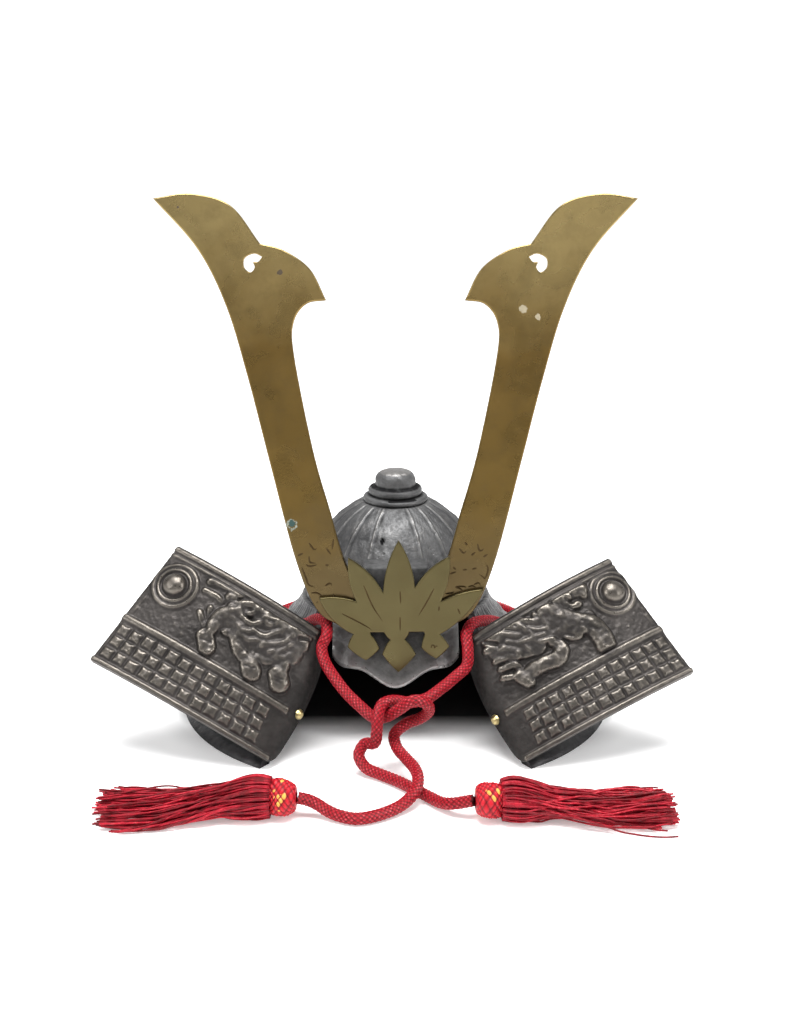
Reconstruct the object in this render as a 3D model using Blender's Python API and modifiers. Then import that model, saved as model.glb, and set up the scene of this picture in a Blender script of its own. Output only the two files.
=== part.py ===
"""A cast-metal kabuto helmet ornament with brass horns, a leaf crest and a red cord.

Frame: +Z up, the front faces -Y, the wearer's sides are -X and +X. The helmet stands on the
floor at z = 0. Everything is modelled about the bowl's upright axis, and one empty carries it
all to its place.
"""
import math

import bpy
import bmesh
import numpy as np
from mathutils import Matrix, Vector

MM = 0.001
GAP = 0.3 * MM
SEAT = 0.5 * MM

# bowl, a ribbed dome with a flat top for the knob
BOWL_R = 40 * MM
BOWL_H = 46 * MM
BOWL_BASE_Z = 50 * MM
BOWL_WALL = 3 * MM
BOWL_TOP_R = 15 * MM
RIB_COUNT = 16
RIB_HEIGHT = 0.9 * MM

# block on the bowl's front that carries the horns and the crest
BLOCK_W = 27 * MM
BLOCK_H = 25.5 * MM

# crown knob: radii and heights of its steps
KNOB_R = 8.9 * MM
KNOB_H = 7.4 * MM
FLANGE_R = 14.3 * MM
FLANGE_H = 2.6 * MM
COLLAR_R = 11.9 * MM
COLLAR_H = 4.0 * MM

# neck guard, a flared skirt cut open at the front
RIM_R = 96 * MM
GUARD_TOP_R = 42 * MM
GUARD_WALL = 3.5 * MM
GUARD_FLARE = 1.3
EDGE_TOP_DEG = 54.0
EDGE_RIM_DEG = 35.5

# peak
PEAK_HALF_W = 27 * MM
PEAK_DROP = 17 * MM
PEAK_BULGE = 6.5 * MM
PEAK_REACH = 10 * MM
PEAK_WALL = 2.6 * MM
LIP_R = 1.9 * MM

# wings: thickness, and the corners of each plate's middle surface
WING_T = 3.4 * MM
WING_SAG = 5 * MM
FLANGE_BACK = 8 * MM
FLANGE_TOP_Z = 44 * MM
FLANGE_LOW_Z = 18 * MM
FOLD_STEPS = 6
BACK_EVERY = 4
WING_CORNERS = {
    "left": {"inner_top": (32.5, -45.5, 48.6), "outer_top": (93.0, -22.6, 77.5),
             "outer_low": (127.0, -54.8, 38.0), "inner_low": (53.0, -78.0, 3.4)},
    "right": {"inner_top": (33.0, -45.5, 46.2), "outer_top": (91.3, -22.6, 72.0),
              "outer_low": (124.3, -54.8, 32.5), "inner_low": (54.0, -78.0, 3.2)},
}

# brass plates leaning back from the front block
LEAN_DEG = 6.0
HORN_T = 2.8 * MM
CREST_T = 2.4 * MM
PLATE_BACK_Y = -46.8 * MM

# cord and tassels
CORD_R = 2.3 * MM
TASSEL_HEAD_R = 7.2 * MM
TASSEL_HEAD_L = 11 * MM
FRINGE_L = 68 * MM

# the footprint reaches further back than forward of the helmet's axis, and is centred on y = 0
FRONT_REACH = 80.2 * MM
AXIS_Y = (FRONT_REACH - RIM_R) / 2


def clear_scene():
    for item in list(bpy.data.objects):
        bpy.data.objects.remove(item, do_unlink=True)


def make_material(name, color, metallic, roughness):
    material = bpy.data.materials.new(name)
    material.use_nodes = True
    shader = material.node_tree.nodes["Principled BSDF"]
    shader.inputs["Base Color"].default_value = (*color, 1.0)
    shader.inputs["Metallic"].default_value = metallic
    shader.inputs["Roughness"].default_value = roughness
    material.diffuse_color = (*color, 1.0)
    return material


IRON = ((0.13, 0.125, 0.12), 0.85, 0.5)
BRASS = ((0.35, 0.24, 0.08), 1.0, 0.35)
RED = ((0.45, 0.02, 0.04), 0.0, 0.8)


def finish(obj, look, smooth_deg=40.0):
    """Give an object its material, smooth shading and a place in the part's collection."""
    color, metallic, roughness = look
    obj.data.materials.clear()
    obj.data.materials.append(make_material(obj.name, color, metallic, roughness))
    obj.data.shade_smooth()
    obj.data.set_sharp_from_angle(angle=math.radians(smooth_deg))
    obj.parent = bpy.data.objects["helmet_axis"]
    return obj


def object_from_bmesh(name, work, collection):
    bmesh.ops.recalc_face_normals(work, faces=work.faces)
    mesh = bpy.data.meshes.new(name)
    work.to_mesh(mesh)
    work.free()
    obj = bpy.data.objects.new(name, mesh)
    collection.objects.link(obj)
    return obj


def baked(obj):
    """Replace an object's modifiers by the mesh that they make."""
    graph = bpy.context.evaluated_depsgraph_get()
    graph.update()
    mesh = bpy.data.meshes.new_from_object(obj.evaluated_get(graph))
    mesh.name = obj.name
    obj.modifiers.clear()
    obj.data = mesh
    return obj


def mesh_from_curve(obj, name, collection):
    """Turn a curve object into a welded mesh object and remove the curve."""
    graph = bpy.context.evaluated_depsgraph_get()
    graph.update()
    mesh = bpy.data.meshes.new_from_object(obj.evaluated_get(graph))
    work = bmesh.new()
    work.from_mesh(mesh)
    bmesh.ops.remove_doubles(work, verts=work.verts, dist=0.01 * MM)
    bmesh.ops.recalc_face_normals(work, faces=work.faces)
    work.to_mesh(mesh)
    work.free()
    mesh.name = name
    made = bpy.data.objects.new(name, mesh)
    made.matrix_world = obj.matrix_world.copy()
    collection.objects.link(made)
    bpy.data.objects.remove(obj, do_unlink=True)
    return made


def flat_plate(name, outline, thickness, collection):
    """A plate in the X-Z plane from an outline of (x, z) points, centred on y = 0."""
    curve = bpy.data.curves.new(name + "_outline", "CURVE")
    curve.dimensions = "2D"
    curve.fill_mode = "BOTH"
    curve.extrude = thickness / 2
    for loop in outline:
        spline = curve.splines.new("POLY")
        spline.points.add(len(loop) - 1)
        for point, (x, z) in zip(spline.points, loop):
            point.co = (x, z, 0.0, 1.0)
        spline.use_cyclic_u = True
    obj = bpy.data.objects.new(name + "_outline", curve)
    collection.objects.link(obj)
    made = mesh_from_curve(obj, name, collection)
    made.data.transform(Matrix.Rotation(math.radians(90), 4, "X"))
    return made


def turned(name, profile, steps, collection):
    """Turn a profile of (r, z) points about the Z axis."""
    mesh = bpy.data.meshes.new(name)
    work = bmesh.new()
    verts = [work.verts.new((r, 0.0, z)) for r, z in profile]
    for first, second in zip(verts, verts[1:]):
        work.edges.new((first, second))
    work.to_mesh(mesh)
    work.free()
    obj = bpy.data.objects.new(name, mesh)
    collection.objects.link(obj)
    screw = obj.modifiers.new("Turn", "SCREW")
    screw.steps = steps
    screw.render_steps = steps
    screw.use_merge_vertices = True
    screw.merge_threshold = 0.00005
    return baked(obj)


def tube(name, points, radius, collection, sides_resolution=2, radii=None):
    """A capped tube along points, as a welded mesh."""
    curve = bpy.data.curves.new(name + "_path", "CURVE")
    curve.dimensions = "3D"
    curve.bevel_depth = radius
    curve.bevel_resolution = sides_resolution
    curve.use_fill_caps = True
    spline = curve.splines.new("POLY")
    spline.points.add(len(points) - 1)
    for index, (point, place) in enumerate(zip(spline.points, points)):
        point.co = (*place, 1.0)
        if radii is not None:
            point.radius = radii[index]
    obj = bpy.data.objects.new(name + "_path", curve)
    collection.objects.link(obj)
    return mesh_from_curve(obj, name, collection)


def boolean(obj, other, operation):
    modifier = obj.modifiers.new(operation.title(), "BOOLEAN")
    modifier.operation = operation
    modifier.solver = "EXACT"
    modifier.object = other
    return modifier


def fused(obj, others):
    """Union other objects into one, and remove them."""
    for other in others:
        boolean(obj, other, "UNION")
        baked(obj)
        bpy.data.objects.remove(other, do_unlink=True)
    return obj


def smooth_route(points, spacing):
    """Points at an even spacing on a smooth curve through the route's own points."""
    knots = [Vector(p) for p in points]
    knots = [2 * knots[0] - knots[1]] + knots + [2 * knots[-1] - knots[-2]]
    fine = []
    for a, b, c, d in zip(knots, knots[1:], knots[2:], knots[3:]):
        for step in range(16):
            u = step / 16
            fine.append(0.5 * ((2 * b) + (c - a) * u + (2 * a - 5 * b + 4 * c - d) * u * u
                               + (3 * b - a - 3 * c + d) * u ** 3))
    fine.append(knots[-2])
    lengths = [0.0]
    for p, q in zip(fine, fine[1:]):
        lengths.append(lengths[-1] + (q - p).length)
    count = max(2, round(lengths[-1] / spacing))
    route = []
    index = 0
    for step in range(count + 1):
        want = lengths[-1] * step / count
        while index < len(lengths) - 2 and lengths[index + 1] < want:
            index += 1
        span = lengths[index + 1] - lengths[index]
        share = (want - lengths[index]) / span if span > 0 else 0.0
        route.append(fine[index].lerp(fine[index + 1], min(1.0, share)))
    return route


def bowl_radius(z):
    """Radius of the bowl's outside at height z, without its ribs."""
    share = min(1.0, (z - BOWL_BASE_Z) / BOWL_H)
    return BOWL_R * math.sqrt(1 - share * share)


def bowl_top_z():
    return BOWL_BASE_Z + BOWL_H * math.sqrt(1 - (BOWL_TOP_R / BOWL_R) ** 2)


def plate_y(z, behind=0.0):
    """y of the leaning plane on which the horns' backs lie, at height z."""
    return PLATE_BACK_Y + behind + (z - BOWL_BASE_Z) * math.tan(math.radians(LEAN_DEG))


def make_bowl(parts):
    """Ribbed dome, hollow and open below, with the front block cast on."""
    rows = 6
    top_angle = math.acos(BOWL_TOP_R / BOWL_R)
    profile = [(0.0, bowl_top_z())]
    for row in range(rows + 1):
        angle = top_angle * (1 - row / rows)
        profile.append((BOWL_R * math.cos(angle), BOWL_BASE_Z + BOWL_H * math.sin(angle)))
    columns_per_rib = 4
    bowl = turned("bowl", profile, RIB_COUNT * columns_per_rib, parts)
    half_pitch = math.pi / RIB_COUNT
    for vertex in bowl.data.vertices:
        r = math.hypot(vertex.co.x, vertex.co.y)
        if r < BOWL_TOP_R + MM:
            continue
        turn = math.atan2(vertex.co.y, vertex.co.x) % (2 * half_pitch)
        off = min(turn, 2 * half_pitch - turn) / half_pitch
        rise = (vertex.co.z - BOWL_BASE_Z) / BOWL_H
        fade = min(1.0, rise / 0.25) * min(1.0, (1.0 - rise) / 0.15)
        if off < 0.25:
            scale = 1 + RIB_HEIGHT * fade / r
            vertex.co.x *= scale
            vertex.co.y *= scale
    shell = bowl.modifiers.new("Wall", "SOLIDIFY")
    shell.thickness = BOWL_WALL
    shell.offset = -1
    shell.use_even_offset = True
    baked(bowl)
    low = BOWL_BASE_Z + 0.4 * MM
    high = BOWL_BASE_Z + BLOCK_H
    side = [(plate_y(low, GAP), low), (plate_y(high, GAP), high),
            (-bowl_radius(high) + 1.3 * BOWL_WALL, high), (-BOWL_R + 1.3 * BOWL_WALL, low)]
    block = flat_plate("front_block", [side], BLOCK_W, parts)
    block.data.transform(Matrix.Rotation(math.radians(90), 4, "Z"))
    return finish(fused(bowl, [block]), IRON)


def make_knob(parts):
    base = bowl_top_z() + GAP
    profile = [(0.0, base + KNOB_H + COLLAR_H + FLANGE_H)]
    for angle in (65, 42, 20, 0):
        a = math.radians(angle)
        profile.append((KNOB_R * math.cos(a) ** 0.8,
                        base + FLANGE_H + COLLAR_H + KNOB_H * (0.35 + 0.65 * math.sin(a))))
    profile += [(KNOB_R, base + FLANGE_H + COLLAR_H), (COLLAR_R * 0.94, base + FLANGE_H + COLLAR_H * 0.9),
                (COLLAR_R, base + FLANGE_H + COLLAR_H * 0.55), (COLLAR_R * 0.97, base + FLANGE_H),
                (FLANGE_R * 0.97, base + FLANGE_H * 0.85), (FLANGE_R, base + FLANGE_H * 0.4),
                (FLANGE_R * 0.97, base), (0.0, base)]
    return finish(turned("crown_knob", profile, 20, parts), IRON)


def guard_top_z():
    return BOWL_BASE_Z - SEAT


def guard_radius(z):
    """Radius of the neck guard's outside at height z."""
    share = max(0.0, 1 - z / guard_top_z())
    return GUARD_TOP_R + (RIM_R - GUARD_TOP_R) * share ** GUARD_FLARE


def guard_normal(z):
    """Outward direction (radial, up) of the neck guard's wall at height z."""
    step = 0.5 * MM
    slope = (guard_radius(z + step) - guard_radius(max(0.0, z - step))) / (z + step - max(0.0, z - step))
    length = math.hypot(1.0, slope)
    return 1.0 / length, -slope / length


def edge_line():
    """Plan of the guard's front edge on the +X side: a start point and a direction."""
    top = math.radians(EDGE_TOP_DEG)
    rim = math.radians(EDGE_RIM_DEG)
    start = Vector((GUARD_TOP_R * math.sin(top), -GUARD_TOP_R * math.cos(top)))
    end = Vector((RIM_R * math.sin(rim), -RIM_R * math.cos(rim)))
    return start, (end - start).normalized()


def edge_azimuth(radius):
    """Angle from the front at which the guard's front edge meets a radius."""
    start, along = edge_line()
    b = start.dot(along)
    s = -b + math.sqrt(b * b - start.length_squared + radius * radius)
    point = start + along * s
    return math.atan2(point.x, -point.y)


def make_neck_guard(parts, cutters):
    """Flared ring with a flat foot, cut open at the front by a wedge."""
    rows = 6
    heights = [guard_top_z() * (1 - row / rows) ** 1.15 for row in range(rows + 1)]
    outer = [(guard_radius(z), z) for z in heights]
    inner = []
    for z in heights:
        radial, up = guard_normal(z)
        inner.append((guard_radius(z) - GUARD_WALL / radial, z))
    profile = outer + inner[::-1] + [outer[0]]
    guard = turned("neck_guard", profile, 48, parts)
    start, along = edge_line()
    near = start - along * 10 * MM
    far = start + along * (RIM_R + 20 * MM)
    wedge_plan = [(near.x, near.y), (far.x, far.y), (-far.x, far.y), (-near.x, near.y)]
    wedge = flat_plate("front_opening", [wedge_plan], 3 * BOWL_BASE_Z, cutters)
    wedge.data.transform(Matrix.Rotation(math.radians(-90), 4, "X"))
    wedge.hide_render = True
    wedge.display_type = "WIRE"
    wedge.parent = bpy.data.objects["helmet_axis"]
    bpy.context.view_layer.update()
    boolean(guard, wedge, "DIFFERENCE")
    return finish(guard, IRON)


def make_peak(parts):
    """Steep visor lofted through sections, with a rolled lip that bulges in the middle."""
    sections = 20
    top_r = BOWL_R - BOWL_WALL / 2
    top_z = BOWL_BASE_Z - SEAT
    half = PEAK_WALL / 2
    rings = []
    for index in range(sections + 1):
        across = -1 + 2 * index / sections
        x = PEAK_HALF_W * across
        bulge = 0.5 + 0.5 * math.cos(min(1.0, abs(across) / 0.62) * math.pi)
        corner = max(0.0, (abs(across) - 0.8) / 0.2)
        drop = PEAK_DROP + PEAK_BULGE * bulge - 3.5 * MM * corner * corner
        reach = PEAK_REACH + PEAK_BULGE * 0.3 * bulge
        top = Vector((x, -math.sqrt(top_r ** 2 - x * x), top_z))
        lip = Vector((x, -math.sqrt((top_r + reach) ** 2 - x * x), top_z - drop))
        fall = Vector((0.0, lip.y - top.y, lip.z - top.z)).normalized()
        out = Vector((0.0, fall.z, -fall.y))
        middle = (top + lip) / 2 + out * 0.8 * MM
        level = Vector((0.0, half / abs(fall.z), 0.0))
        ring = [top - level, middle + out * half]
        for degrees in (15, 50, 90, 130, 165):
            a = math.radians(degrees)
            ring.append(lip + (out * math.cos(a) + fall * math.sin(a)) * LIP_R)
        ring += [middle - out * half, top + level]
        rings.append(ring)
    work = bmesh.new()
    rows = [[work.verts.new(p) for p in ring] for ring in rings]
    count = len(rows[0])
    for first, second in zip(rows, rows[1:]):
        for j in range(count):
            k = (j + 1) % count
            work.faces.new((first[j], first[k], second[k], second[j]))
    work.faces.new(rows[0])
    work.faces.new(rows[-1])
    return finish(object_from_bmesh("peak", work, parts), IRON)


# relief: strokes in the plate's own millimetres, across from the inner top corner and down,
# each a list of (across, down) points, a half width and a height
BOSS_RINGS = ((10.4, 8.9, 1.1), (7.9, 6.9, 1.5))
BOSS_DOME = (5.7, 3.6)
WING_FIGURES = {
    "left": {
        "boss": (60.9, 16.3),
        "strokes": [
            ([(50.3, 6.4), (43.5, 7.0), (37.0, 7.8)], 1.9, 1.6),
            ([(37.5, 8.2), (37.4, 8.4)], 2.8, 2.2),
            ([(38.5, 13.2), (35.3, 9.8), (29.2, 7.6), (22.8, 7.0)], 1.9, 1.8),
            ([(35.5, 17.0), (37.2, 22.6), (36.6, 28.0), (34.8, 32.2)], 3.9, 2.6),
            ([(46.6, 19.2), (43.4, 22.6), (40.8, 25.8)], 1.4, 1.3),
            ([(43.8, 16.6), (41.6, 19.6), (40.2, 22.4)], 1.2, 1.2),
            ([(36.0, 16.5), (31.5, 14.0), (25.3, 12.3), (17.0, 10.8), (9.0, 8.6)], 3.6, 2.4),
            ([(31.0, 18.2), (20.0, 17.6), (11.3, 15.8), (5.0, 14.0)], 4.6, 2.9),
            ([(26.0, 20.5), (20.5, 25.0), (15.8, 30.2)], 3.3, 2.4),
            ([(16.0, 29.4), (15.2, 31.0)], 4.1, 2.8),
            ([(11.0, 19.0), (6.5, 23.5), (3.4, 27.4)], 3.1, 2.3),
            ([(3.8, 26.6), (3.0, 28.4)], 4.0, 2.8),
            ([(6.4, 8.4), (3.0, 9.4)], 4.8, 3.0),
        ],
    },
    "right": {
        "boss": (59.6, 14.8),
        "strokes": [
            ([(33.5, 5.6), (40.0, 6.0), (46.4, 9.0)], 3.2, 2.3),
            ([(29.0, 9.6), (36.0, 11.4), (41.4, 17.0), (44.4, 25.0), (44.2, 31.2)], 4.1, 2.8),
            ([(48.6, 17.0), (48.9, 18.6)], 2.0, 1.4),
            ([(3.4, 6.6), (10.6, 5.4), (18.9, 6.9), (27.0, 10.4)], 2.1, 2.1),
            ([(2.0, 11.8), (10.2, 11.4), (19.0, 14.6), (28.0, 14.0)], 2.5, 2.6),
            ([(1.4, 17.4), (8.6, 18.2), (17.0, 18.8), (26.0, 18.6)], 2.4, 2.4),
            ([(4.0, 23.8), (10.0, 23.0), (17.5, 23.4)], 2.0, 2.0),
            ([(19.0, 11.0), (28.5, 15.5)], 4.8, 2.8),
            ([(29.0, 17.5), (30.2, 23.6), (23.0, 27.6), (15.5, 28.8), (10.0, 29.4)], 3.2, 2.6),
            ([(10.2, 29.0), (9.2, 31.0)], 3.8, 2.8),
        ],
    },
}
# shares of the plate's depth at which its mouldings, its tiles and its lower ridge lie
TOP_RIDGES = ((0.012, 0.04, 1.0), (0.064, 0.085, 0.8))
FIELD_TOP = 0.10
BAND_RIDGE = (0.600, 0.655, 1.1)
TILES_TOP = 0.668
TILES_LOW = 0.956
TILE_ROWS = 3
TILE_COLUMNS = 12
TILE_MARGIN = 0.02
TILE_HEIGHT = 0.9
LOW_RIDGE = (0.966, 1.0, 0.9)


def distance_to_stroke(place, points):
    best = 1e9
    for a, b in zip(points, points[1:]):
        span = (b[0] - a[0], b[1] - a[1])
        length = span[0] ** 2 + span[1] ** 2
        share = ((place[0] - a[0]) * span[0] + (place[1] - a[1]) * span[1]) / length
        share = min(1.0, max(0.0, share))
        best = min(best, math.hypot(place[0] - a[0] - share * span[0], place[1] - a[1] - share * span[1]))
    return best


def figure_height(side, across, down):
    """Height in millimetres of the boss and the creature above the field."""
    figure = WING_FIGURES[side]
    height = 0.0
    off = math.hypot(across - figure["boss"][0], down - figure["boss"][1])
    for outer, inner, rise in BOSS_RINGS:
        middle, half = (outer + inner) / 2, (outer - inner) / 2 + 0.5
        height = max(height, rise * (1 - min(1.0, abs(off - middle) / half)))
    if off < BOSS_DOME[0]:
        height = max(height, 1.0 + BOSS_DOME[1] * math.sqrt(1 - (off / BOSS_DOME[0]) ** 2))
    for points, half, rise in figure["strokes"]:
        off = distance_to_stroke((across, down), points)
        if off < half:
            height = max(height, rise * math.sqrt(1 - (off / half) ** 2))
    return height


def wing_corners(side):
    sign = -1 if side == "left" else 1
    return {name: Vector((sign * x, y, z)) * MM for name, (x, y, z) in WING_CORNERS[side].items()}


def plate_point(corners, s, t):
    """A point of the plate's middle surface, s from the fold outwards and t from top to bottom."""
    top = corners["inner_top"].lerp(corners["outer_top"], s)
    low = corners["inner_low"].lerp(corners["outer_low"], s)
    across = (corners["outer_top"] - corners["inner_top"]).normalized()
    down = corners["inner_low"] - corners["inner_top"]
    front = across.cross(down).normalized()
    if front.y > 0:
        front = -front
    return top.lerp(low, t) + front * WING_SAG * 4 * s * (1 - s)


def plate_millimetres(corners, s, t):
    """The same point in the flat plate's own millimetres, across and down."""
    across = (corners["outer_top"] - corners["inner_top"]).normalized()
    down = corners["inner_low"] - corners["inner_top"]
    down = (down - across * down.dot(across)).normalized()
    top = corners["inner_top"].lerp(corners["outer_top"], s)
    low = corners["inner_low"].lerp(corners["outer_low"], s)
    place = (top.lerp(low, t) - corners["inner_top"]) / MM
    return place.dot(across), place.dot(down)


def flange_point(sign, z, back):
    """Middle surface of the flange inside the guard's wall, a length back from its front edge."""
    depth = GUARD_WALL + GAP + WING_T / 2 + 0.2 * MM
    radius = guard_radius(z)
    radial, up = guard_normal(z)
    turn = edge_azimuth(radius) + back / radius
    r = radius - depth * radial
    return Vector((sign * r * math.sin(turn), -r * math.cos(turn), z - depth * up))


def wing_rows():
    rows = [0.0]
    for start, end, _ in TOP_RIDGES:
        rows += [start, end]
    rows += [FIELD_TOP]
    field_steps = 7
    rows += [FIELD_TOP + (BAND_RIDGE[0] - 0.015 - FIELD_TOP) * k / field_steps
             for k in range(1, field_steps + 1)]
    rows += [BAND_RIDGE[0] + 0.008, BAND_RIDGE[1] - 0.008]
    rows += [TILES_TOP + (TILES_LOW - TILES_TOP) * k / (2 * TILE_ROWS) for k in range(2 * TILE_ROWS + 1)]
    rows += [LOW_RIDGE[0] + 0.012, 1.0]
    return rows


def wing_height(side, corners, s, t, tile_line):
    """Relief above the plate's face, in millimetres."""
    for start, end, rise in TOP_RIDGES + (BAND_RIDGE, LOW_RIDGE):
        if start <= t <= end:
            return rise
    if FIELD_TOP < t < BAND_RIDGE[0] and 0 < s < 1:
        return figure_height(side, *plate_millimetres(corners, s, t))
    pitch = (TILES_LOW - TILES_TOP) / TILE_ROWS
    if TILES_TOP < t < TILES_LOW and tile_line:
        within = ((t - TILES_TOP) / pitch) % 1.0
        return TILE_HEIGHT if 0.25 < within < 0.75 else 0.0
    return 0.0


def fold_reach(t):
    """How far the fold keeps the heading of the guard's edge, at a share of the wing's depth."""
    return (4 + 20 * t * (1 - t)) * MM


def fold_point(sign, corners, t, u):
    """Middle surface of the fold, u of the way from the guard's edge to the plate."""
    z = FLANGE_TOP_Z + (FLANGE_LOW_Z - FLANGE_TOP_Z) * t
    root = flange_point(sign, z, 0.0)
    heading = (root - flange_point(sign, z, 1 * MM)).normalized()
    start = plate_point(corners, 0.0, t)
    leaving = (start - plate_point(corners, 0.06, t)).normalized()
    reach = fold_reach(t)
    return (root * (1 - u) ** 3 + (root + heading * reach) * 3 * u * (1 - u) ** 2
            + (start + leaving * reach * 0.7) * 3 * u * u * (1 - u) + start * u ** 3)


def make_wing(side, parts, cutters):
    """Turned-back plate with cast relief, folded round the guard's front edge."""
    sign = -1 if side == "left" else 1
    corners = wing_corners(side)
    rows = wing_rows()
    tile_lines = 2 * TILE_COLUMNS
    shares = [0.0] + [TILE_MARGIN + (1 - 2 * TILE_MARGIN) * k / tile_lines for k in range(tile_lines + 1)]
    shares += [1.0]
    grid = []
    heights = []
    for t in rows:
        z = FLANGE_TOP_Z + (FLANGE_LOW_Z - FLANGE_TOP_Z) * t
        line = [flange_point(sign, z, FLANGE_BACK), flange_point(sign, z, FLANGE_BACK / 2)]
        line += [fold_point(sign, corners, t, step / FOLD_STEPS) for step in range(FOLD_STEPS)]
        rise = [0.0] * len(line)
        for index, s in enumerate(shares):
            line.append(plate_point(corners, s, t))
            rise.append(wing_height(side, corners, s, t, index % 2 == 0 and 1 < index < len(shares) - 1))
        grid.append(line)
        heights.append(rise)
    wing = thick_sheet("wing_" + side, grid, heights, WING_T, sign, parts)
    drill = rivet_drill(side, cutters)
    boolean(wing, drill, "DIFFERENCE")
    return finish(wing, IRON)


def thick_sheet(name, grid, heights, thickness, sign, parts):
    """A closed plate about a grid of middle points, fine in front and coarser behind."""
    middle = np.array([[tuple(p) for p in line] for line in grid])
    along = np.gradient(middle, axis=1)
    down = np.gradient(middle, axis=0)
    normal = np.cross(down, along) * sign
    normal /= np.linalg.norm(normal, axis=2, keepdims=True)
    lift = thickness / 2 + np.array(heights)[:, :, None] * MM
    front = middle + normal * lift
    back = middle - normal * thickness / 2
    row_count, column_count = middle.shape[:2]
    work = bmesh.new()
    fronts = [[work.verts.new(front[i, j]) for j in range(column_count)] for i in range(row_count)]
    kept_rows = sorted(set(range(0, row_count, BACK_EVERY)) | {row_count - 1})
    folded = FOLD_STEPS + 3
    kept_columns = sorted(set(range(folded)) | set(range(folded - 1, column_count, BACK_EVERY))
                          | {column_count - 1})
    backs = {(i, j): work.verts.new(back[i, j]) for i in kept_rows for j in kept_columns}
    for i in range(row_count - 1):
        for j in range(column_count - 1):
            work.faces.new((fronts[i][j], fronts[i][j + 1], fronts[i + 1][j + 1], fronts[i + 1][j]))
    for i, low in zip(kept_rows, kept_rows[1:]):
        for j, far in zip(kept_columns, kept_columns[1:]):
            work.faces.new((backs[i, j], backs[low, j], backs[low, far], backs[i, far]))
        for j in (0, column_count - 1):
            work.faces.new([backs[i, j], backs[low, j]] + [fronts[k][j] for k in range(low, i - 1, -1)])
    for j, far in zip(kept_columns, kept_columns[1:]):
        for i in (0, row_count - 1):
            work.faces.new([backs[i, j], backs[i, far]] + [fronts[i][k] for k in range(far, j - 1, -1)])
    return object_from_bmesh(name, work, parts)


RIVET_DOWN = {"left": 0.65, "right": 0.682}
RIVET_ROUND = 0.75
RIVET_SHANK_R = 1.1 * MM
RIVET_HEAD_R = 2.3 * MM
RIVET_HEAD_H = 1.6 * MM
RIVET_SEAT = 0.45 * MM


def rivet_frame(side):
    """Place in the wing's fold and matrix whose Z axis points out of its face."""
    sign = -1 if side == "left" else 1
    corners = wing_corners(side)
    t = RIVET_DOWN[side]
    u = RIVET_ROUND
    place = fold_point(sign, corners, t, u)
    along = fold_point(sign, corners, t, u + 0.08) - fold_point(sign, corners, t, u - 0.08)
    down = fold_point(sign, corners, t + 0.04, u) - fold_point(sign, corners, t - 0.04, u)
    out = along.cross(down).normalized()
    if out.y > 0:
        out = -out
    return Matrix.Translation(place) @ out.to_track_quat("Z", "Y").to_matrix().to_4x4()


def rivet_drill(side, cutters):
    bpy.ops.mesh.primitive_cylinder_add(vertices=12, radius=RIVET_SHANK_R + GAP, depth=3 * WING_T)
    drill = bpy.context.active_object
    drill.name = "rivet_drill_" + side
    for owner in list(drill.users_collection):
        owner.objects.unlink(drill)
    cutters.objects.link(drill)
    drill.data.transform(rivet_frame(side))
    drill.hide_render = True
    drill.display_type = "WIRE"
    drill.parent = bpy.data.objects["helmet_axis"]
    bpy.context.view_layer.update()
    return drill


def make_rivet(side, parts):
    seat = WING_T / 2 + RIVET_SEAT
    profile = [(0.0, seat + RIVET_HEAD_H), (RIVET_HEAD_R * 0.4, seat + RIVET_HEAD_H),
               (RIVET_HEAD_R * 0.85, seat + RIVET_HEAD_H * 0.6), (RIVET_HEAD_R, seat),
               (RIVET_SHANK_R, seat), (RIVET_SHANK_R, -WING_T / 2), (0.0, -WING_T / 2)]
    rivet = turned("rivet_" + side, profile, 10, parts)
    rivet.data.transform(rivet_frame(side))
    return finish(rivet, BRASS)


def bent_outline(stretches, steps=4):
    """Smooth curves through each stretch's points, meeting in corners; closes on itself."""
    outline = []
    for stretch in stretches:
        knots = [Vector(p) for p in stretch]
        knots = [2 * knots[0] - knots[1]] + knots + [2 * knots[-1] - knots[-2]]
        for a, b, c, d in zip(knots, knots[1:], knots[2:], knots[3:]):
            for step in range(steps):
                u = step / steps
                outline.append(0.5 * ((2 * b) + (c - a) * u + (2 * a - 5 * b + 4 * c - d) * u * u
                                      + (3 * b - a - 3 * c + d) * u ** 3))
    return [(p.x * MM, p.y * MM) for p in outline]


# horn outline in millimetres from the bowl's base on the leaning plane, outwards and up
HORN_OUTER = [(13.0, -0.5), (24.5, 2.0), (33.6, 9.2), (42.0, 31.0), (52.0, 71.5), (60.0, 104.6),
              (68.2, 133.5), (79.3, 156.6), (96.8, 176.8)]
HORN_TOP = [(96.8, 176.8), (81.5, 178.6), (66.0, 174.0), (54.3, 158.9)]
HORN_LOBE = [(54.3, 158.9), (45.0, 156.4), (34.5, 149.0), (28.0, 136.4)]
HORN_INNER = [(28.0, 136.4), (36.0, 134.9), (41.2, 127.5), (41.2, 114.0), (34.0, 75.9), (27.1, 50.3),
              (20.6, 28.0), (11.0, 10.0)]
HORN_FOOT = [(11.0, 10.0), (13.0, -0.5)]
HORN_PIERCING = [(53.6, 153.8), (56.8, 155.0), (60.6, 153.2), (60.9, 149.6), (58.4, 147.6), (56.6, 149.6),
                 (57.2, 151.6), (55.2, 151.8)]


def make_horn(side, parts):
    sign = -1 if side == "left" else 1
    outline = bent_outline([HORN_OUTER, HORN_TOP, HORN_LOBE, HORN_INNER, HORN_FOOT], 3)
    hole = bent_outline([HORN_PIERCING + HORN_PIERCING[:1]], 2)
    loops = [[(sign * x, z) for x, z in loop] for loop in (outline, hole)]
    horn = flat_plate("horn_" + side, loops, HORN_T, parts)
    horn.data.transform(Matrix.Translation((0, -HORN_T / 2, 0)))
    return lean(finish(horn, BRASS))


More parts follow.
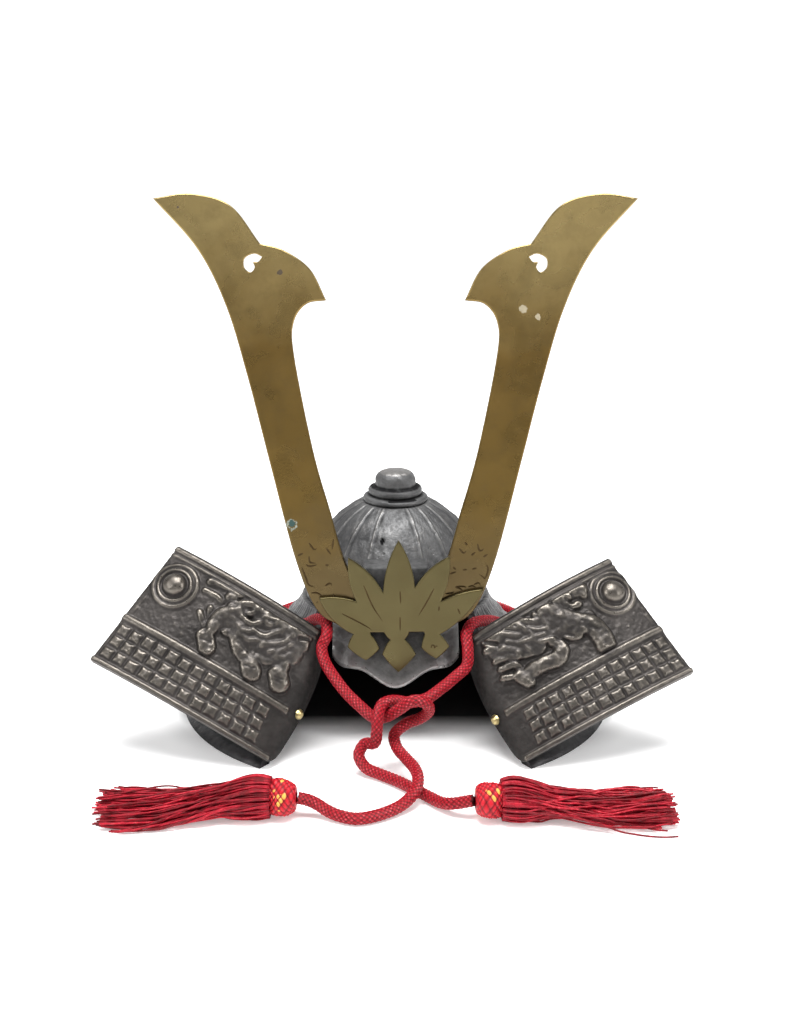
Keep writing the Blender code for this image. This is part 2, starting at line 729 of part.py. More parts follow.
def lean(obj):
    obj.location = (0.0, PLATE_BACK_Y, BOWL_BASE_Z)
    obj.rotation_euler = (math.radians(-LEAN_DEG), 0.0, 0.0)
    return obj


# crest outline, clockwise from its lowest point: corners in millimetres, and how far the side
# that follows each one swells
CREST = [
    (1.2, -18.1, 0.3), (-5.6, -10.3, 0.4), (-2.2, -4.0, 0.3), (-4.8, -0.8, 0.0), (-10.4, -0.8, -0.3),
    (-9.4, -2.8, 0.2), (-6.7, -7.8, 0.4), (-12.4, -12.9, 0.4), (-20.0, -7.2, 0.4), (-17.6, -1.6, 0.0),
    (-20.2, -0.4, 1.6), (-31.8, 13.8, 1.0), (-16.4, 12.5, 1.3), (-19.6, 31.0, 1.6), (-5.2, 16.3, 1.4),
    (1.2, 38.3, 1.4), (8.1, 18.4, 1.6), (22.5, 31.6, 1.3), (18.9, 12.5, 1.0), (36.7, 17.6, 1.6),
    (20.8, -0.4, 0.0), (18.6, -1.6, 0.2), (22.6, -6.8, 0.4), (17.0, -12.2, 0.4), (10.8, -7.4, 0.2),
    (12.0, -2.2, -0.3), (11.6, -0.6, 0.0), (5.8, -0.6, 0.3), (3.9, -3.8, 0.3), (8.6, -10.3, 0.3),
]
SWELL_STEPS = 4


def make_crest(parts):
    outline = []
    for (x, z, swell), (x2, z2, _) in zip(CREST, CREST[1:] + CREST[:1]):
        length = math.hypot(x2 - x, z2 - z)
        side = (-(z2 - z) / length, (x2 - x) / length)
        steps = SWELL_STEPS if swell else 1
        for step in range(steps):
            u = step / steps
            bow = swell * 4 * u * (1 - u)
            outline.append(((x + (x2 - x) * u + side[0] * bow) * MM,
                            (z + (z2 - z) * u + side[1] * bow) * MM))
    crest = flat_plate("crest", [outline], CREST_T, parts)
    crest.data.transform(Matrix.Translation((0, -HORN_T - GAP - CREST_T / 2, 0)))
    return lean(finish(crest, BRASS))


# the cord's route in millimetres: left tassel, knot, up the left side, round the back in the
# crease above the neck guard, down the right side, knot, right tassel
CORD_ROUTE = [
    (-37.4, -118.4, 7.3), (-33.6, -118.5, 6.4), (-30.0, -119.2, 5.0), (-26.0, -121.2, 3.3), (-21.0, -124.0, 2.5),
    (-14.0, -126.2, 2.5),
    (-5.5, -122.6, 2.5), (2.4, -116.4, 3.2), (7.6, -109.8, 5.6), (8.9, -102.4, 7.6), (7.6, -95.2, 8.4),
    (4.4, -87.6, 9.0), (0.6, -80.6, 10.6), (-0.4, -74.0, 13.4), (4.4, -70.6, 16.6), (10.4, -70.4, 19.2),
    (13.6, -73.2, 23.6), (12.2, -77.0, 28.6), (7.0, -78.8, 30.4), (1.6, -78.4, 26.6), (-3.6, -76.2, 22.4),
    (-8.8, -74.0, 21.0), (-14.2, -70.0, 23.9), (-19.9, -65.2, 27.6), (-24.7, -61.0, 32.2), (-29.2, -56.6, 38.0),
    (-30.8, -53.2, 43.4), (-28.8, -50.8, 48.2), (-29.4, -45.6, 51.8), (-33.4, -38.8, 50.8), (-38.8, -31.5, 46.0),
    (-45.8, -24.0, 41.4), (-54.6, -14.6, 36.4), (-61.9, -4.0, 31.0), (-65.4, 9.0, 27.8), (-62.0, 23.4, 27.0),
    (-53.6, 39.0, 27.0), (-40.6, 52.4, 27.0), (-24.4, 61.6, 27.0), (-8.2, 65.8, 27.0), (8.2, 65.8, 27.0),
    (24.4, 61.6, 27.0), (40.6, 52.4, 27.0), (53.6, 39.0, 27.0), (62.0, 23.4, 27.0), (65.4, 9.0, 27.8),
    (61.9, -4.0, 31.4), (55.0, -14.4, 36.8), (47.8, -23.0, 42.4), (42.2, -30.4, 46.8), (37.8, -37.0, 49.4),
    (32.6, -43.8, 50.6), (29.8, -49.2, 48.2), (30.2, -53.8, 43.2), (29.6, -57.2, 36.9), (24.3, -61.0, 33.0),
    (18.4, -65.0, 29.6), (12.6, -69.6, 27.4), (5.6, -72.0, 26.8), (-0.8, -72.8, 27.9), (-5.4, -76.4, 27.6),
    (-7.2, -80.6, 23.4), (-7.6, -82.0, 17.8), (-8.6, -80.6, 12.6), (-12.6, -79.2, 11.6), (-14.9, -81.6, 7.6),
    (-12.0, -84.6, 3.6), (-6.0, -88.4, 2.5), (1.0, -94.6, 2.5), (7.6, -101.8, 2.5), (13.4, -108.4, 2.5),
    (17.8, -114.0, 3.0), (22.4, -118.2, 4.8), (29.6, -120.4, 7.2),
]
CORD_SPACING = 7.4 * MM


def make_cord(parts):
    route = smooth_route([Vector(p) * MM for p in CORD_ROUTE], CORD_SPACING)
    return finish(tube("cord", route, CORD_R, parts), RED)


# each tassel's head centre in millimetres, the heading of its fringe in degrees from +X, and
# its locks: heading off the middle in degrees, share of the fringe's length
TASSELS = {
    "left": {"head": (-43.9, -118.4), "heading": 178.0},
    "right": {"head": (36.5, -120.7), "heading": 3.0},
}
LOCKS = ((-19.0, 0.88), (-12.5, 0.97), (-6.0, 0.94), (0.5, 1.0), (7.0, 0.95), (13.0, 0.98), (19.5, 0.86))
LOCK_R = 3.6 * MM
FLOOR_CLEAR = 0.25 * MM


def make_tassel(side, parts):
    """Woven head with a fringe of locks that fan out over the table, as one body."""
    name = "tassel_" + side
    row = TASSELS[side]
    r, half = TASSEL_HEAD_R, TASSEL_HEAD_L / 2
    profile = [(0.0, half), (r * 0.55, half), (r * 0.9, half * 0.6), (r, 0.0), (r * 0.94, -half * 0.7),
               (r * 0.7, -half), (0.0, -half)]
    head = turned(name, profile, 14, parts)
    head.data.transform(Matrix.Rotation(math.radians(90), 4, "Y"))
    locks = []
    for index, (off, share) in enumerate(LOCKS):
        a = math.radians(off)
        points = []
        radii = []
        for step in range(6):
            u = step / 5
            out = FRINGE_L * share * u
            drop = (TASSEL_HEAD_R - LOCK_R * 0.9) * min(1.0, u * 2.2) ** 0.8
            points.append(Vector((half * 0.3 + out * math.cos(a), out * math.sin(a) * (0.75 + 0.25 * u)
                                  + off * 0.12 * MM, -drop)))
            radii.append((1.0, 1.1, 1.0, 0.95, 0.85, 0.4)[step])
        locks.append(tube(f"{name}_lock_{index}", points, LOCK_R, parts, 1, radii))
    tassel = fused(head, locks)
    place = Vector((row["head"][0] * MM, row["head"][1] * MM, TASSEL_HEAD_R + FLOOR_CLEAR))
    turn = Matrix.Rotation(math.radians(row["heading"]), 4, "Z")
    tassel.data.transform(Matrix.Translation(place) @ turn)
    return finish(tassel, RED)


def build():
    clear_scene()
    scene = bpy.context.scene
    parts = bpy.data.collections.new("kabuto_helmet")
    cutters = bpy.data.collections.new("cutters")
    scene.collection.children.link(parts)
    scene.collection.children.link(cutters)
    axis = bpy.data.objects.new("helmet_axis", None)
    axis.location = (0.0, AXIS_Y, 0.0)
    parts.objects.link(axis)
    make_bowl(parts)
    make_knob(parts)
    make_peak(parts)
    make_neck_guard(parts, cutters)
    for side in ("left", "right"):
        make_wing(side, parts, cutters)
        make_rivet(side, parts)
        make_horn(side, parts)
        make_tassel(side, parts)
    make_crest(parts)
    make_cord(parts)
    bpy.context.view_layer.update()


build()
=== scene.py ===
"""Dresses a cast-metal kabuto ornament: casting skin, aged brass, braided cord, tassels, floor and light."""
import math
import random

import bmesh
import bpy
import numpy as np
from mathutils import Matrix, Vector, noise


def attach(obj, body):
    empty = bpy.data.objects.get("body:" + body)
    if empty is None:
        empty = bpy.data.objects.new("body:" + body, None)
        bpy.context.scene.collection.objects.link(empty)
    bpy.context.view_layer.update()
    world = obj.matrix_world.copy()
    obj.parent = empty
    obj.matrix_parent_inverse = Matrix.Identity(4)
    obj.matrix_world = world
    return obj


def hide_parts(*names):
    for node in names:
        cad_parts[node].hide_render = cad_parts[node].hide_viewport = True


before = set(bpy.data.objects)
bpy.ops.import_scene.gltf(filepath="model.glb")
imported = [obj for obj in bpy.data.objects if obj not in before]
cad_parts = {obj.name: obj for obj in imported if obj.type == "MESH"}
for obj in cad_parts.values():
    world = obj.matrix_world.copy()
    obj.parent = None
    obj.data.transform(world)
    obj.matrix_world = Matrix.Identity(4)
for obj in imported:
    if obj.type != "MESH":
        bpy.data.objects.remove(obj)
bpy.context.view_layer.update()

MM = 0.001
GAP = 0.3 * MM
SEAT = 0.5 * MM
AXIS_Y = -7.9 * MM

BOWL_R = 40 * MM
BOWL_H = 46 * MM
BOWL_BASE_Z = 50 * MM
BOWL_WALL = 3 * MM
BOWL_TOP_R = 15 * MM
BLOCK_W = 27 * MM
BLOCK_H = 25.5 * MM
KNOB_R = 8.9 * MM
KNOB_H = 7.4 * MM
FLANGE_R = 14.3 * MM
FLANGE_H = 2.6 * MM
COLLAR_R = 11.9 * MM
COLLAR_H = 4.0 * MM
RIM_R = 96 * MM
GUARD_TOP_R = 42 * MM
GUARD_WALL = 3.5 * MM
GUARD_FLARE = 1.3
GUARD_TOP_Z = BOWL_BASE_Z - SEAT
EDGE_TOP_DEG = 54.0
EDGE_RIM_DEG = 35.5
PEAK_HALF_W = 27 * MM
PEAK_DROP = 17 * MM
PEAK_BULGE = 6.5 * MM
PEAK_REACH = 10 * MM
PEAK_WALL = 2.6 * MM
LIP_R = 1.9 * MM
WING_T = 3.4 * MM
WING_SAG = 5 * MM
FLANGE_BACK = 8 * MM
FLANGE_TOP_Z = 44 * MM
FLANGE_LOW_Z = 18 * MM
WING_CORNERS = {
    "left": {"inner_top": (32.5, -45.5, 48.6), "outer_top": (93.0, -22.6, 77.5),
             "outer_low": (127.0, -54.8, 38.0), "inner_low": (53.0, -78.0, 3.4)},
    "right": {"inner_top": (33.0, -45.5, 46.2), "outer_top": (91.3, -22.6, 72.0),
              "outer_low": (124.3, -54.8, 32.5), "inner_low": (54.0, -78.0, 3.2)},
}
LEAN_DEG = 6.0
HORN_T = 2.8 * MM
CREST_T = 2.4 * MM
PLATE_BACK_Y = -46.8 * MM
CORD_R = 2.3 * MM
TASSEL_HEAD_R = 7.2 * MM
TASSEL_HEAD_L = 11 * MM
FRINGE_L = 68 * MM
FLOOR_CLEAR = 0.25 * MM

# the photo's camera: focal length and picture height in pixels, its place and its tilt
FOCAL_PX = 1500
PICTURE_H_PX = 1024
SENSOR_MM = 36
CAMERA_BACK = 640.2 * MM
CAMERA_UP = 270.7 * MM
CAMERA_TILT_DEG = 16


# camera

def set_camera():
    data = bpy.data.cameras.new("photo_camera")
    data.lens = SENSOR_MM * FOCAL_PX / PICTURE_H_PX
    data.sensor_width = SENSOR_MM
    data.clip_start = 0.01
    camera = bpy.data.objects.new("photo_camera", data)
    camera.location = (0.0, AXIS_Y - CAMERA_BACK, CAMERA_UP)
    camera.rotation_euler = (math.radians(90 - CAMERA_TILT_DEG), 0.0, 0.0)
    bpy.context.scene.collection.objects.link(camera)
    bpy.context.scene.camera = camera


set_camera()


# node helpers

class Nodes:
    """Adds and links shader nodes in one tree."""

    def __init__(self, tree):
        self.tree = tree

    def add(self, kind, **settings):
        node = self.tree.nodes.new(kind)
        for name, value in settings.items():
            setattr(node, name, value)
        return node

    def link(self, out, into):
        self.tree.links.new(out, into)

    def feed(self, socket, value):
        if isinstance(value, bpy.types.NodeSocket):
            self.link(value, socket)
        else:
            socket.default_value = value

    def math(self, operation, a, b=0.0, clamp=False):
        node = self.add("ShaderNodeMath", operation=operation, use_clamp=clamp)
        self.feed(node.inputs[0], a)
        self.feed(node.inputs[1], b)
        return node.outputs[0]

    def ramp(self, value, low, high, out_low=0.0, out_high=1.0):
        node = self.add("ShaderNodeMapRange")
        self.feed(node.inputs["Value"], value)
        node.inputs["From Min"].default_value = low
        node.inputs["From Max"].default_value = high
        node.inputs["To Min"].default_value = out_low
        node.inputs["To Max"].default_value = out_high
        return node.outputs["Result"]

    def mix(self, share, a, b):
        node = self.add("ShaderNodeMix", data_type="RGBA")
        self.feed(node.inputs["Factor"], share)
        for socket, value in ((node.inputs["A"], a), (node.inputs["B"], b)):
            if not isinstance(value, bpy.types.NodeSocket):
                value = (*value, 1.0)
            self.feed(socket, value)
        return node.outputs["Result"]

    def noise(self, vector, scale, detail=3.0, rough=0.5):
        node = self.add("ShaderNodeTexNoise")
        self.link(vector, node.inputs["Vector"])
        self.feed(node.inputs["Scale"], scale)
        node.inputs["Detail"].default_value = detail
        node.inputs["Roughness"].default_value = rough
        return node.outputs["Fac"]

    def place(self):
        return self.add("ShaderNodeTexCoord").outputs["Object"]

    def attribute(self, name):
        return self.add("ShaderNodeAttribute", attribute_name=name).outputs["Fac"]

    def fill(self, node, **values):
        """Link or set a node's inputs, each named with _ for its spaces."""
        for name, value in values.items():
            self.feed(node.inputs[name.replace("_", " ")], value)

    def bump(self, height, distance, strength=1.0, normal=None):
        node = self.add("ShaderNodeBump")
        node.inputs["Strength"].default_value = strength
        node.inputs["Distance"].default_value = distance
        self.link(height, node.inputs["Height"])
        if normal is not None:
            self.link(normal, node.inputs["Normal"])
        return node.outputs["Normal"]


def new_group(name, inputs, outputs):
    group = bpy.data.node_groups.new(name, "ShaderNodeTree")
    for label, kind, default in inputs:
        socket = group.interface.new_socket(label, in_out="INPUT", socket_type=kind)
        socket.default_value = default
    for label, kind in outputs:
        group.interface.new_socket(label, in_out="OUTPUT", socket_type=kind)
    nodes = Nodes(group)
    return group, nodes, nodes.add("NodeGroupInput"), nodes.add("NodeGroupOutput")


def casting_skin_group():
    """Mottling, sand grain and small blow holes of a rough casting."""
    group, n, given, out = new_group("casting_skin", [
        ("Grain Scale", "NodeSocketFloat", 900.0), ("Mottle Scale", "NodeSocketFloat", 60.0)],
        [("Mottle", "NodeSocketFloat"), ("Grain", "NodeSocketFloat"), ("Height", "NodeSocketFloat")])
    at = n.place()
    mottle = n.noise(at, given.outputs["Mottle Scale"], 5.0, 0.6)
    grain = n.noise(at, given.outputs["Grain Scale"], 4.0, 0.6)
    holes = n.add("ShaderNodeTexVoronoi", feature="F1")
    n.link(at, holes.inputs["Vector"])
    holes.inputs["Scale"].default_value = 260.0
    hole = n.ramp(holes.outputs["Distance"], 0.10, 0.22, 1.0, 0.0)
    rare = n.ramp(n.noise(at, 120.0, 1.0), 0.56, 0.62)
    pits = n.math("MULTIPLY", hole, rare)
    height = n.math("SUBTRACT", grain, pits)
    n.link(n.ramp(mottle, 0.32, 0.68), out.inputs["Mottle"])
    n.link(grain, out.inputs["Grain"])
    n.link(height, out.inputs["Height"])
    return group


def relief_wear_and_shade_group():
    """Proud parts of the casting: worn pale, partly a painted highlight. Hollows and insides: dirty dark,
    partly painted shade.
    """
    group, n, given, out = new_group("relief_wear_and_shade", [("Breakup", "NodeSocketFloat", 0.5)],
                                     [("Rubbed And Highlight", "NodeSocketFloat"), ("Dirt And Shade", "NodeSocketFloat")])
    stir = n.math("SUBTRACT", n.noise(n.place(), 350.0, 4.0), 0.5)
    moved = n.math("ADD", n.attribute("wear_and_shading"), n.math("MULTIPLY", stir, given.outputs["Breakup"]))
    n.link(n.ramp(moved, 0.05, 0.75), out.inputs["Rubbed And Highlight"])
    n.link(n.ramp(moved, -0.05, -0.6), out.inputs["Dirt And Shade"])
    return group


def spot_group():
    """A ragged round spot about a point."""
    group, n, given, out = new_group("spot", [
        ("Centre", "NodeSocketVector", (0.0, 0.0, 0.0)), ("Radius", "NodeSocketFloat", 0.003),
        ("Ragged", "NodeSocketFloat", 0.75)],
        [("Mask", "NodeSocketFloat"), ("Ring", "NodeSocketFloat")])
    at = n.place()
    away = n.add("ShaderNodeVectorMath", operation="DISTANCE")
    n.link(at, away.inputs[0])
    n.link(given.outputs["Centre"], away.inputs[1])
    share = n.math("DIVIDE", away.outputs["Value"], given.outputs["Radius"])
    rag = n.math("SUBTRACT", n.noise(at, 620.0, 5.0, 0.62), 0.5)
    rag = n.math("MULTIPLY", rag, given.outputs["Ragged"])
    share = n.math("ADD", share, n.math("MULTIPLY", rag, 2.0))
    n.link(n.ramp(share, 1.0, 0.85), out.inputs["Mask"])
    off = n.math("ABSOLUTE", n.math("SUBTRACT", share, 0.75))
    broken = n.ramp(n.noise(at, 1300.0, 3.0), 0.40, 0.52)
    n.link(n.math("MULTIPLY", n.ramp(off, 0.26, 0.06), broken), out.inputs["Ring"])
    return group


CASTING = casting_skin_group()
WEAR_AND_SHADE = relief_wear_and_shade_group()
SPOT = spot_group()


def new_material(name):
    material = bpy.data.materials.new(name)
    material.use_nodes = True
    shader = material.node_tree.nodes["Principled BSDF"]
    return material, Nodes(material.node_tree), shader


def use_group(n, group, **values):
    node = n.add("ShaderNodeGroup")
    node.node_tree = group
    n.fill(node, **values)
    return node


def cast_iron(name, low, high, rubbed_and_highlight_tone, dirt_and_shade_tone, rough=(0.34, 0.56), grain_depth=0.12, lump_depth=0.35,
              striated=False):
    """Dark casting: mottled between two tones, worn pale on top and partly a painted highlight, dirty in the
    hollows and partly painted shade.
    """
    material, n, shader = new_material(name)
    skin = use_group(n, CASTING, Grain_Scale=850.0, Mottle_Scale=55.0)
    wear_and_shading = use_group(n, WEAR_AND_SHADE, Breakup=0.55)
    wear_and_light, grime_and_shade = wear_and_shading.outputs["Rubbed And Highlight"], wear_and_shading.outputs["Dirt And Shade"]
    tone = n.mix(skin.outputs["Mottle"], low, high)
    tone = n.mix(n.math("MULTIPLY", wear_and_light, 0.8), tone, rubbed_and_highlight_tone)
    tone = n.mix(grime_and_shade, tone, dirt_and_shade_tone)
    rougher = n.ramp(skin.outputs["Grain"], 0.3, 0.7, *rough)
    rougher = n.math("SUBTRACT", rougher, n.math("MULTIPLY", wear_and_light, 0.16))
    rougher = n.math("ADD", rougher, n.math("MULTIPLY", grime_and_shade, 0.5), clamp=True)
    normal = n.bump(skin.outputs["Height"], grain_depth * MM, 0.8)
    normal = n.bump(n.noise(n.place(), 210.0, 3.0), lump_depth * MM, 0.7, normal)
    if striated:
        strands = n.noise(n.add("ShaderNodeUVMap").outputs["UV"], 1.0, 2.0)
        fade = n.attribute("strand")
        normal = n.bump(n.math("MULTIPLY", strands, fade), 1.3 * MM, 0.9, normal)
        pale = n.math("MULTIPLY", n.ramp(strands, 0.42, 0.62), fade)
        tone = n.mix(n.math("MULTIPLY", pale, 0.55), tone, (0.34, 0.335, 0.33))
    n.fill(shader, Base_Color=tone, Roughness=rougher, Metallic=n.ramp(grime_and_shade, 0.0, 1.0, 0.85, 0.0),
           Specular_IOR_Level=0.2, Normal=normal)
    return material


def aged_brass(name, tones, rough, spots=()):
    """Worn brass: a tone for each height, paler edges, partly worn and partly a painted highlight, dirty
    hollows with painted shade, and spots with a place of their own.
    """
    material, n, shader = new_material(name)
    at = n.place()
    split = n.add("ShaderNodeSeparateXYZ")
    n.link(at, split.inputs[0])
    cloud = n.math("SUBTRACT", n.noise(at, 32.0, 4.0, 0.6), 0.5)
    height = n.math("ADD", split.outputs["Z"], n.math("MULTIPLY", cloud, 0.05))
    tone = tones[0][1]
    for (z0, _), (z1, color) in zip(tones, tones[1:]):
        tone = n.mix(n.ramp(height, z0, z1), tone, color)
    film = n.ramp(n.noise(at, 140.0, 5.0, 0.65), 0.45, 0.75)
    tone = n.mix(n.math("MULTIPLY", film, 0.3), tone, (0.10, 0.074, 0.034))
    wear_and_shading = use_group(n, WEAR_AND_SHADE, Breakup=0.3)
    tone = n.mix(n.math("MULTIPLY", wear_and_shading.outputs["Rubbed And Highlight"], 0.6), tone, (0.55, 0.43, 0.23))
    tone = n.mix(wear_and_shading.outputs["Dirt And Shade"], tone, (0.035, 0.028, 0.02))
    roughness = n.ramp(n.noise(at, 75.0, 4.0), 0.3, 0.7, *rough)
    bare = None
    for centre, radius, color, part in spots:
        mask = use_group(n, SPOT, Centre=centre, Radius=radius).outputs[part]
        tone = n.mix(mask, tone, color)
        roughness = n.math("MAXIMUM", roughness, n.math("MULTIPLY", mask, 0.8))
        kept = n.math("SUBTRACT", 1.0, mask)
        bare = kept if bare is None else n.math("MULTIPLY", bare, kept)
    normal = n.bump(n.noise(at, 42.0, 2.0), 0.6 * MM, 0.5)
    normal = n.bump(n.noise(at, 1400.0, 3.0), 0.03 * MM, 0.6, normal)
    n.fill(shader, Base_Color=tone, Roughness=roughness, Normal=normal,
           Metallic=0.95 if bare is None else n.ramp(bare, 0.0, 1.0, 0.1, 0.95))
    return material


def world_mm(x, y, z):
    return (x * MM, y * MM, z * MM)


NEAR_BLACK = (0.006, 0.006, 0.0065)
IRON_BOWL = cast_iron("grey_casting", (0.075, 0.075, 0.077), (0.17, 0.17, 0.17), (0.27, 0.26, 0.25),
                      NEAR_BLACK, rough=(0.46, 0.68), grain_depth=0.32)
# pale where worn on the peak's lip and face, partly a painted highlight
IRON_PEAK = cast_iron("worn_and_highlit_casting", (0.085, 0.084, 0.084), (0.18, 0.178, 0.175),
                      (0.42, 0.41, 0.40), NEAR_BLACK, grain_depth=0.2)
IRON_WING = cast_iron("brown_casting", (0.036, 0.033, 0.0315), (0.076, 0.069, 0.065),
                      (0.19, 0.17, 0.145), (0.008, 0.0075, 0.007), rough=(0.38, 0.58), lump_depth=0.16)
IRON_GUARD = cast_iron("striated_casting", (0.042, 0.041, 0.043), (0.10, 0.098, 0.10),
                       (0.22, 0.215, 0.215), (0.004, 0.004, 0.0045), striated=True)
# heights in metres and the brass's tone there; the pale tones high up towards the horns' tips are a painted
# glare
BRASS_TONES_AND_GLARE = [(0.0, (0.10, 0.072, 0.038)), (0.078, (0.11, 0.078, 0.034)),
               (0.105, (0.15, 0.096, 0.028)), (0.165, (0.19, 0.12, 0.036)),
               (0.215, (0.38, 0.285, 0.12))]
# verdigris, two dark pits and two pale scuffs: place, radius, tone, and ring or whole spot
BRASS_HORN = aged_brass("horn_brass", BRASS_TONES_AND_GLARE, (0.22, 0.36), [
    (world_mm(-42.8, -52.9, 94.6), 2.5 * MM, (0.30, 0.34, 0.29), "Ring"),
    (world_mm(-42.8, -52.9, 95.2), 1.5 * MM, (0.035, 0.075, 0.068), "Mask"),
    (world_mm(-46.4, -42.1, 197.0), 1.2 * MM, (0.07, 0.05, 0.03), "Mask"),
    (world_mm(-86.8, -39.4, 222.7), 0.5 * MM, (0.07, 0.05, 0.03), "Mask"),
    (world_mm(51.5, -43.6, 182.6), 1.7 * MM, (0.36, 0.31, 0.21), "Mask"),
    (world_mm(57.6, -43.9, 179.4), 1.4 * MM, (0.36, 0.31, 0.21), "Mask")])
BRASS_CREST = aged_brass("crest_brass", [(0.0, (0.094, 0.077, 0.035)), (0.09, (0.112, 0.093, 0.042))],
                         (0.26, 0.4))
BRASS_RIVET = aged_brass("rivet_brass", [(0.0, (0.42, 0.34, 0.16))], (0.3, 0.4))
BRASS_CHASED = aged_brass("chased_brass", [(0.0, (0.055, 0.036, 0.016)), (0.1, (0.075, 0.05, 0.022))],
                          (0.4, 0.5))


# mesh helpers

def new_object(name, work, *materials):
    """A smooth-shaded object from a bmesh, at the origin."""
    for face in work.faces:
        face.smooth = True
    mesh = bpy.data.meshes.new(name)
    work.to_mesh(mesh)
    work.free()
    for material in materials:
        mesh.materials.append(material)
    thing = bpy.data.objects.new(name, mesh)
    bpy.context.scene.collection.objects.link(thing)
    return thing


def finish_piece(name, work, node, *materials, crease_deg=None):
    """Turn a bmesh in world metres into a piece that rides on the part and stands for a node."""
    piece = new_object(name, work, *materials)
    if crease_deg is not None:
        piece.data.set_sharp_from_angle(angle=math.radians(crease_deg))
    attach(piece, "root")
    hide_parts(node)
    return piece


def close_up(work, sides, weld):
    """Weld the seams of tubes and cap their ends."""
    bmesh.ops.remove_doubles(work, verts=work.verts, dist=weld)
    bmesh.ops.holes_fill(work, edges=[e for e in work.edges if e.is_boundary], sides=sides)
    bmesh.ops.recalc_face_normals(work, faces=work.faces)


def grid_on(work, table, wear_and_shading=None):
    """A grid of faces set out on a table of places, with each corner's value for wear and painted light and
    shade.
    """
    rows, columns = table.shape[0] - 1, table.shape[1] - 1
    layer = work.verts.layers.float.get("wear_and_shading") or work.verts.layers.float.new("wear_and_shading")
    made = bmesh.ops.create_grid(work, x_segments=columns, y_segments=rows, size=0.5)["verts"]
    for vert in made:
        i = round((vert.co.y + 0.5) * rows)
        j = round((vert.co.x + 0.5) * columns)
        vert.co = table[i, j]
        if wear_and_shading is not None:
            vert[layer] = wear_and_shading[i, j]


def local_to_world(work):
    bmesh.ops.translate(work, verts=work.verts, vec=(0.0, AXIS_Y, 0.0))


def smooth_table(height, times):
    for _ in range(times):
        padded = np.pad(height, 1, mode="edge")
        height = (padded[:-2, 1:-1] + padded[2:, 1:-1] + padded[1:-1, :-2] + padded[1:-1, 2:]
                  + 2 * height) / 6
    return height


def relief_wear_and_shade(height, times, gain):
    """Positive on what stands proud of its surroundings, negative in the hollows."""
    return np.clip((height - smooth_table(height, times)) * gain, -1.0, 1.0)


def two_sided(front, back, front_wear_and_shading, back_wear_and_shading):
    """A closed plate between two tables of places."""
    work = bmesh.new()
    grid_on(work, front, front_wear_and_shading)
    grid_on(work, back, np.full(back.shape[:2], back_wear_and_shading))
    rim = [edge for edge in work.edges if edge.is_boundary]
    bmesh.ops.bridge_loops(work, edges=rim)
    bmesh.ops.recalc_face_normals(work, faces=work.faces)
    return work


def curve_through(points, steps):
    """Points on a smooth curve through the given ones, in even steps, without the last."""
    knots = [Vector(p) for p in points]
    knots = [2 * knots[0] - knots[1]] + knots + [2 * knots[-1] - knots[-2]]
    fine = []
    for a, b, c, d in zip(knots, knots[1:], knots[2:], knots[3:]):
        for step in range(steps):
            u = step / steps
            fine.append(0.5 * ((2 * b) + (c - a) * u + (2 * a - 5 * b + 4 * c - d) * u * u
                               + (3 * b - a - 3 * c + d) * u ** 3))
    return fine


def smooth_route(points, spacing):
    """Points at an even spacing on a smooth curve through the route's own points."""
    fine = curve_through(points, 16) + [Vector(points[-1])]
    lengths = [0.0]
    for p, q in zip(fine, fine[1:]):
        lengths.append(lengths[-1] + (q - p).length)
    count = max(2, round(lengths[-1] / spacing))
    route = []
    index = 0
    for step in range(count + 1):
        want = lengths[-1] * step / count
        while index < len(lengths) - 2 and lengths[index + 1] < want:
            index += 1
        span = lengths[index + 1] - lengths[index]
        share = (want - lengths[index]) / span if span > 0 else 0.0
        route.append(fine[index].lerp(fine[index + 1], min(1.0, share)))
    return route


def route_frames(route):
    """Two side directions at each point of a route, which don't twist along it."""
    along = [(b - a).normalized() for a, b in zip(route, route[1:])]
    along.append(along[-1])
    along = [along[0]] + [(a + b).normalized() for a, b in zip(along, along[1:])]
    side = along[0].orthogonal().normalized()
    frames = []
    for direction in along:
        side = (side - direction * side.dot(direction)).normalized()
        frames.append((side, direction.cross(side)))
    return frames


def lay_tube(work, route, around, radius_at, wear_and_shading_at, uv_length):
    """An open tube along a route: radius and the value for wear and painted light and shade come from the
    share of a turn and the step.
    """
    uv_layer = work.loops.layers.uv["UVMap"]
    layer = work.verts.layers.float["wear_and_shading"]
    frames = route_frames(route)
    count = len(route) - 1
    made = bmesh.ops.create_grid(work, x_segments=around, y_segments=count, size=0.5)["verts"]
    for face in {face for vert in made for face in vert.link_faces}:
        for loop in face.loops:
            loop[uv_layer].uv = (loop.vert.co.x + 0.5, (loop.vert.co.y + 0.5) * uv_length)
    for vert in made:
        u, i = vert.co.x + 0.5, round((vert.co.y + 0.5) * count)
        turn = u * 2 * math.pi
        side, other = frames[i]
        vert[layer] = wear_and_shading_at(u, i)
        vert.co = route[i] + (side * math.cos(turn) + other * math.sin(turn)) * radius_at(u, i)


def tube_mesh():
    """An empty bmesh with the layers that lay_tube fills."""
    work = bmesh.new()
    work.loops.layers.uv.new("UVMap")
    work.verts.layers.float.new("wear_and_shading")
    return work


def plait(p, q, low):
    """Height of crossing strands: 1 on a crown, low towards a strand's ends, 0 in the creases."""
    a, b = p % 1.0 - 0.5, q % 1.0 - 0.5
    if (math.floor(p) + math.floor(q)) % 2:
        a, b = b, a
    return math.sqrt(max(0.0, 1 - 4 * a * a)) * (low + (1 - low) * math.cos(math.pi * b))


# cord

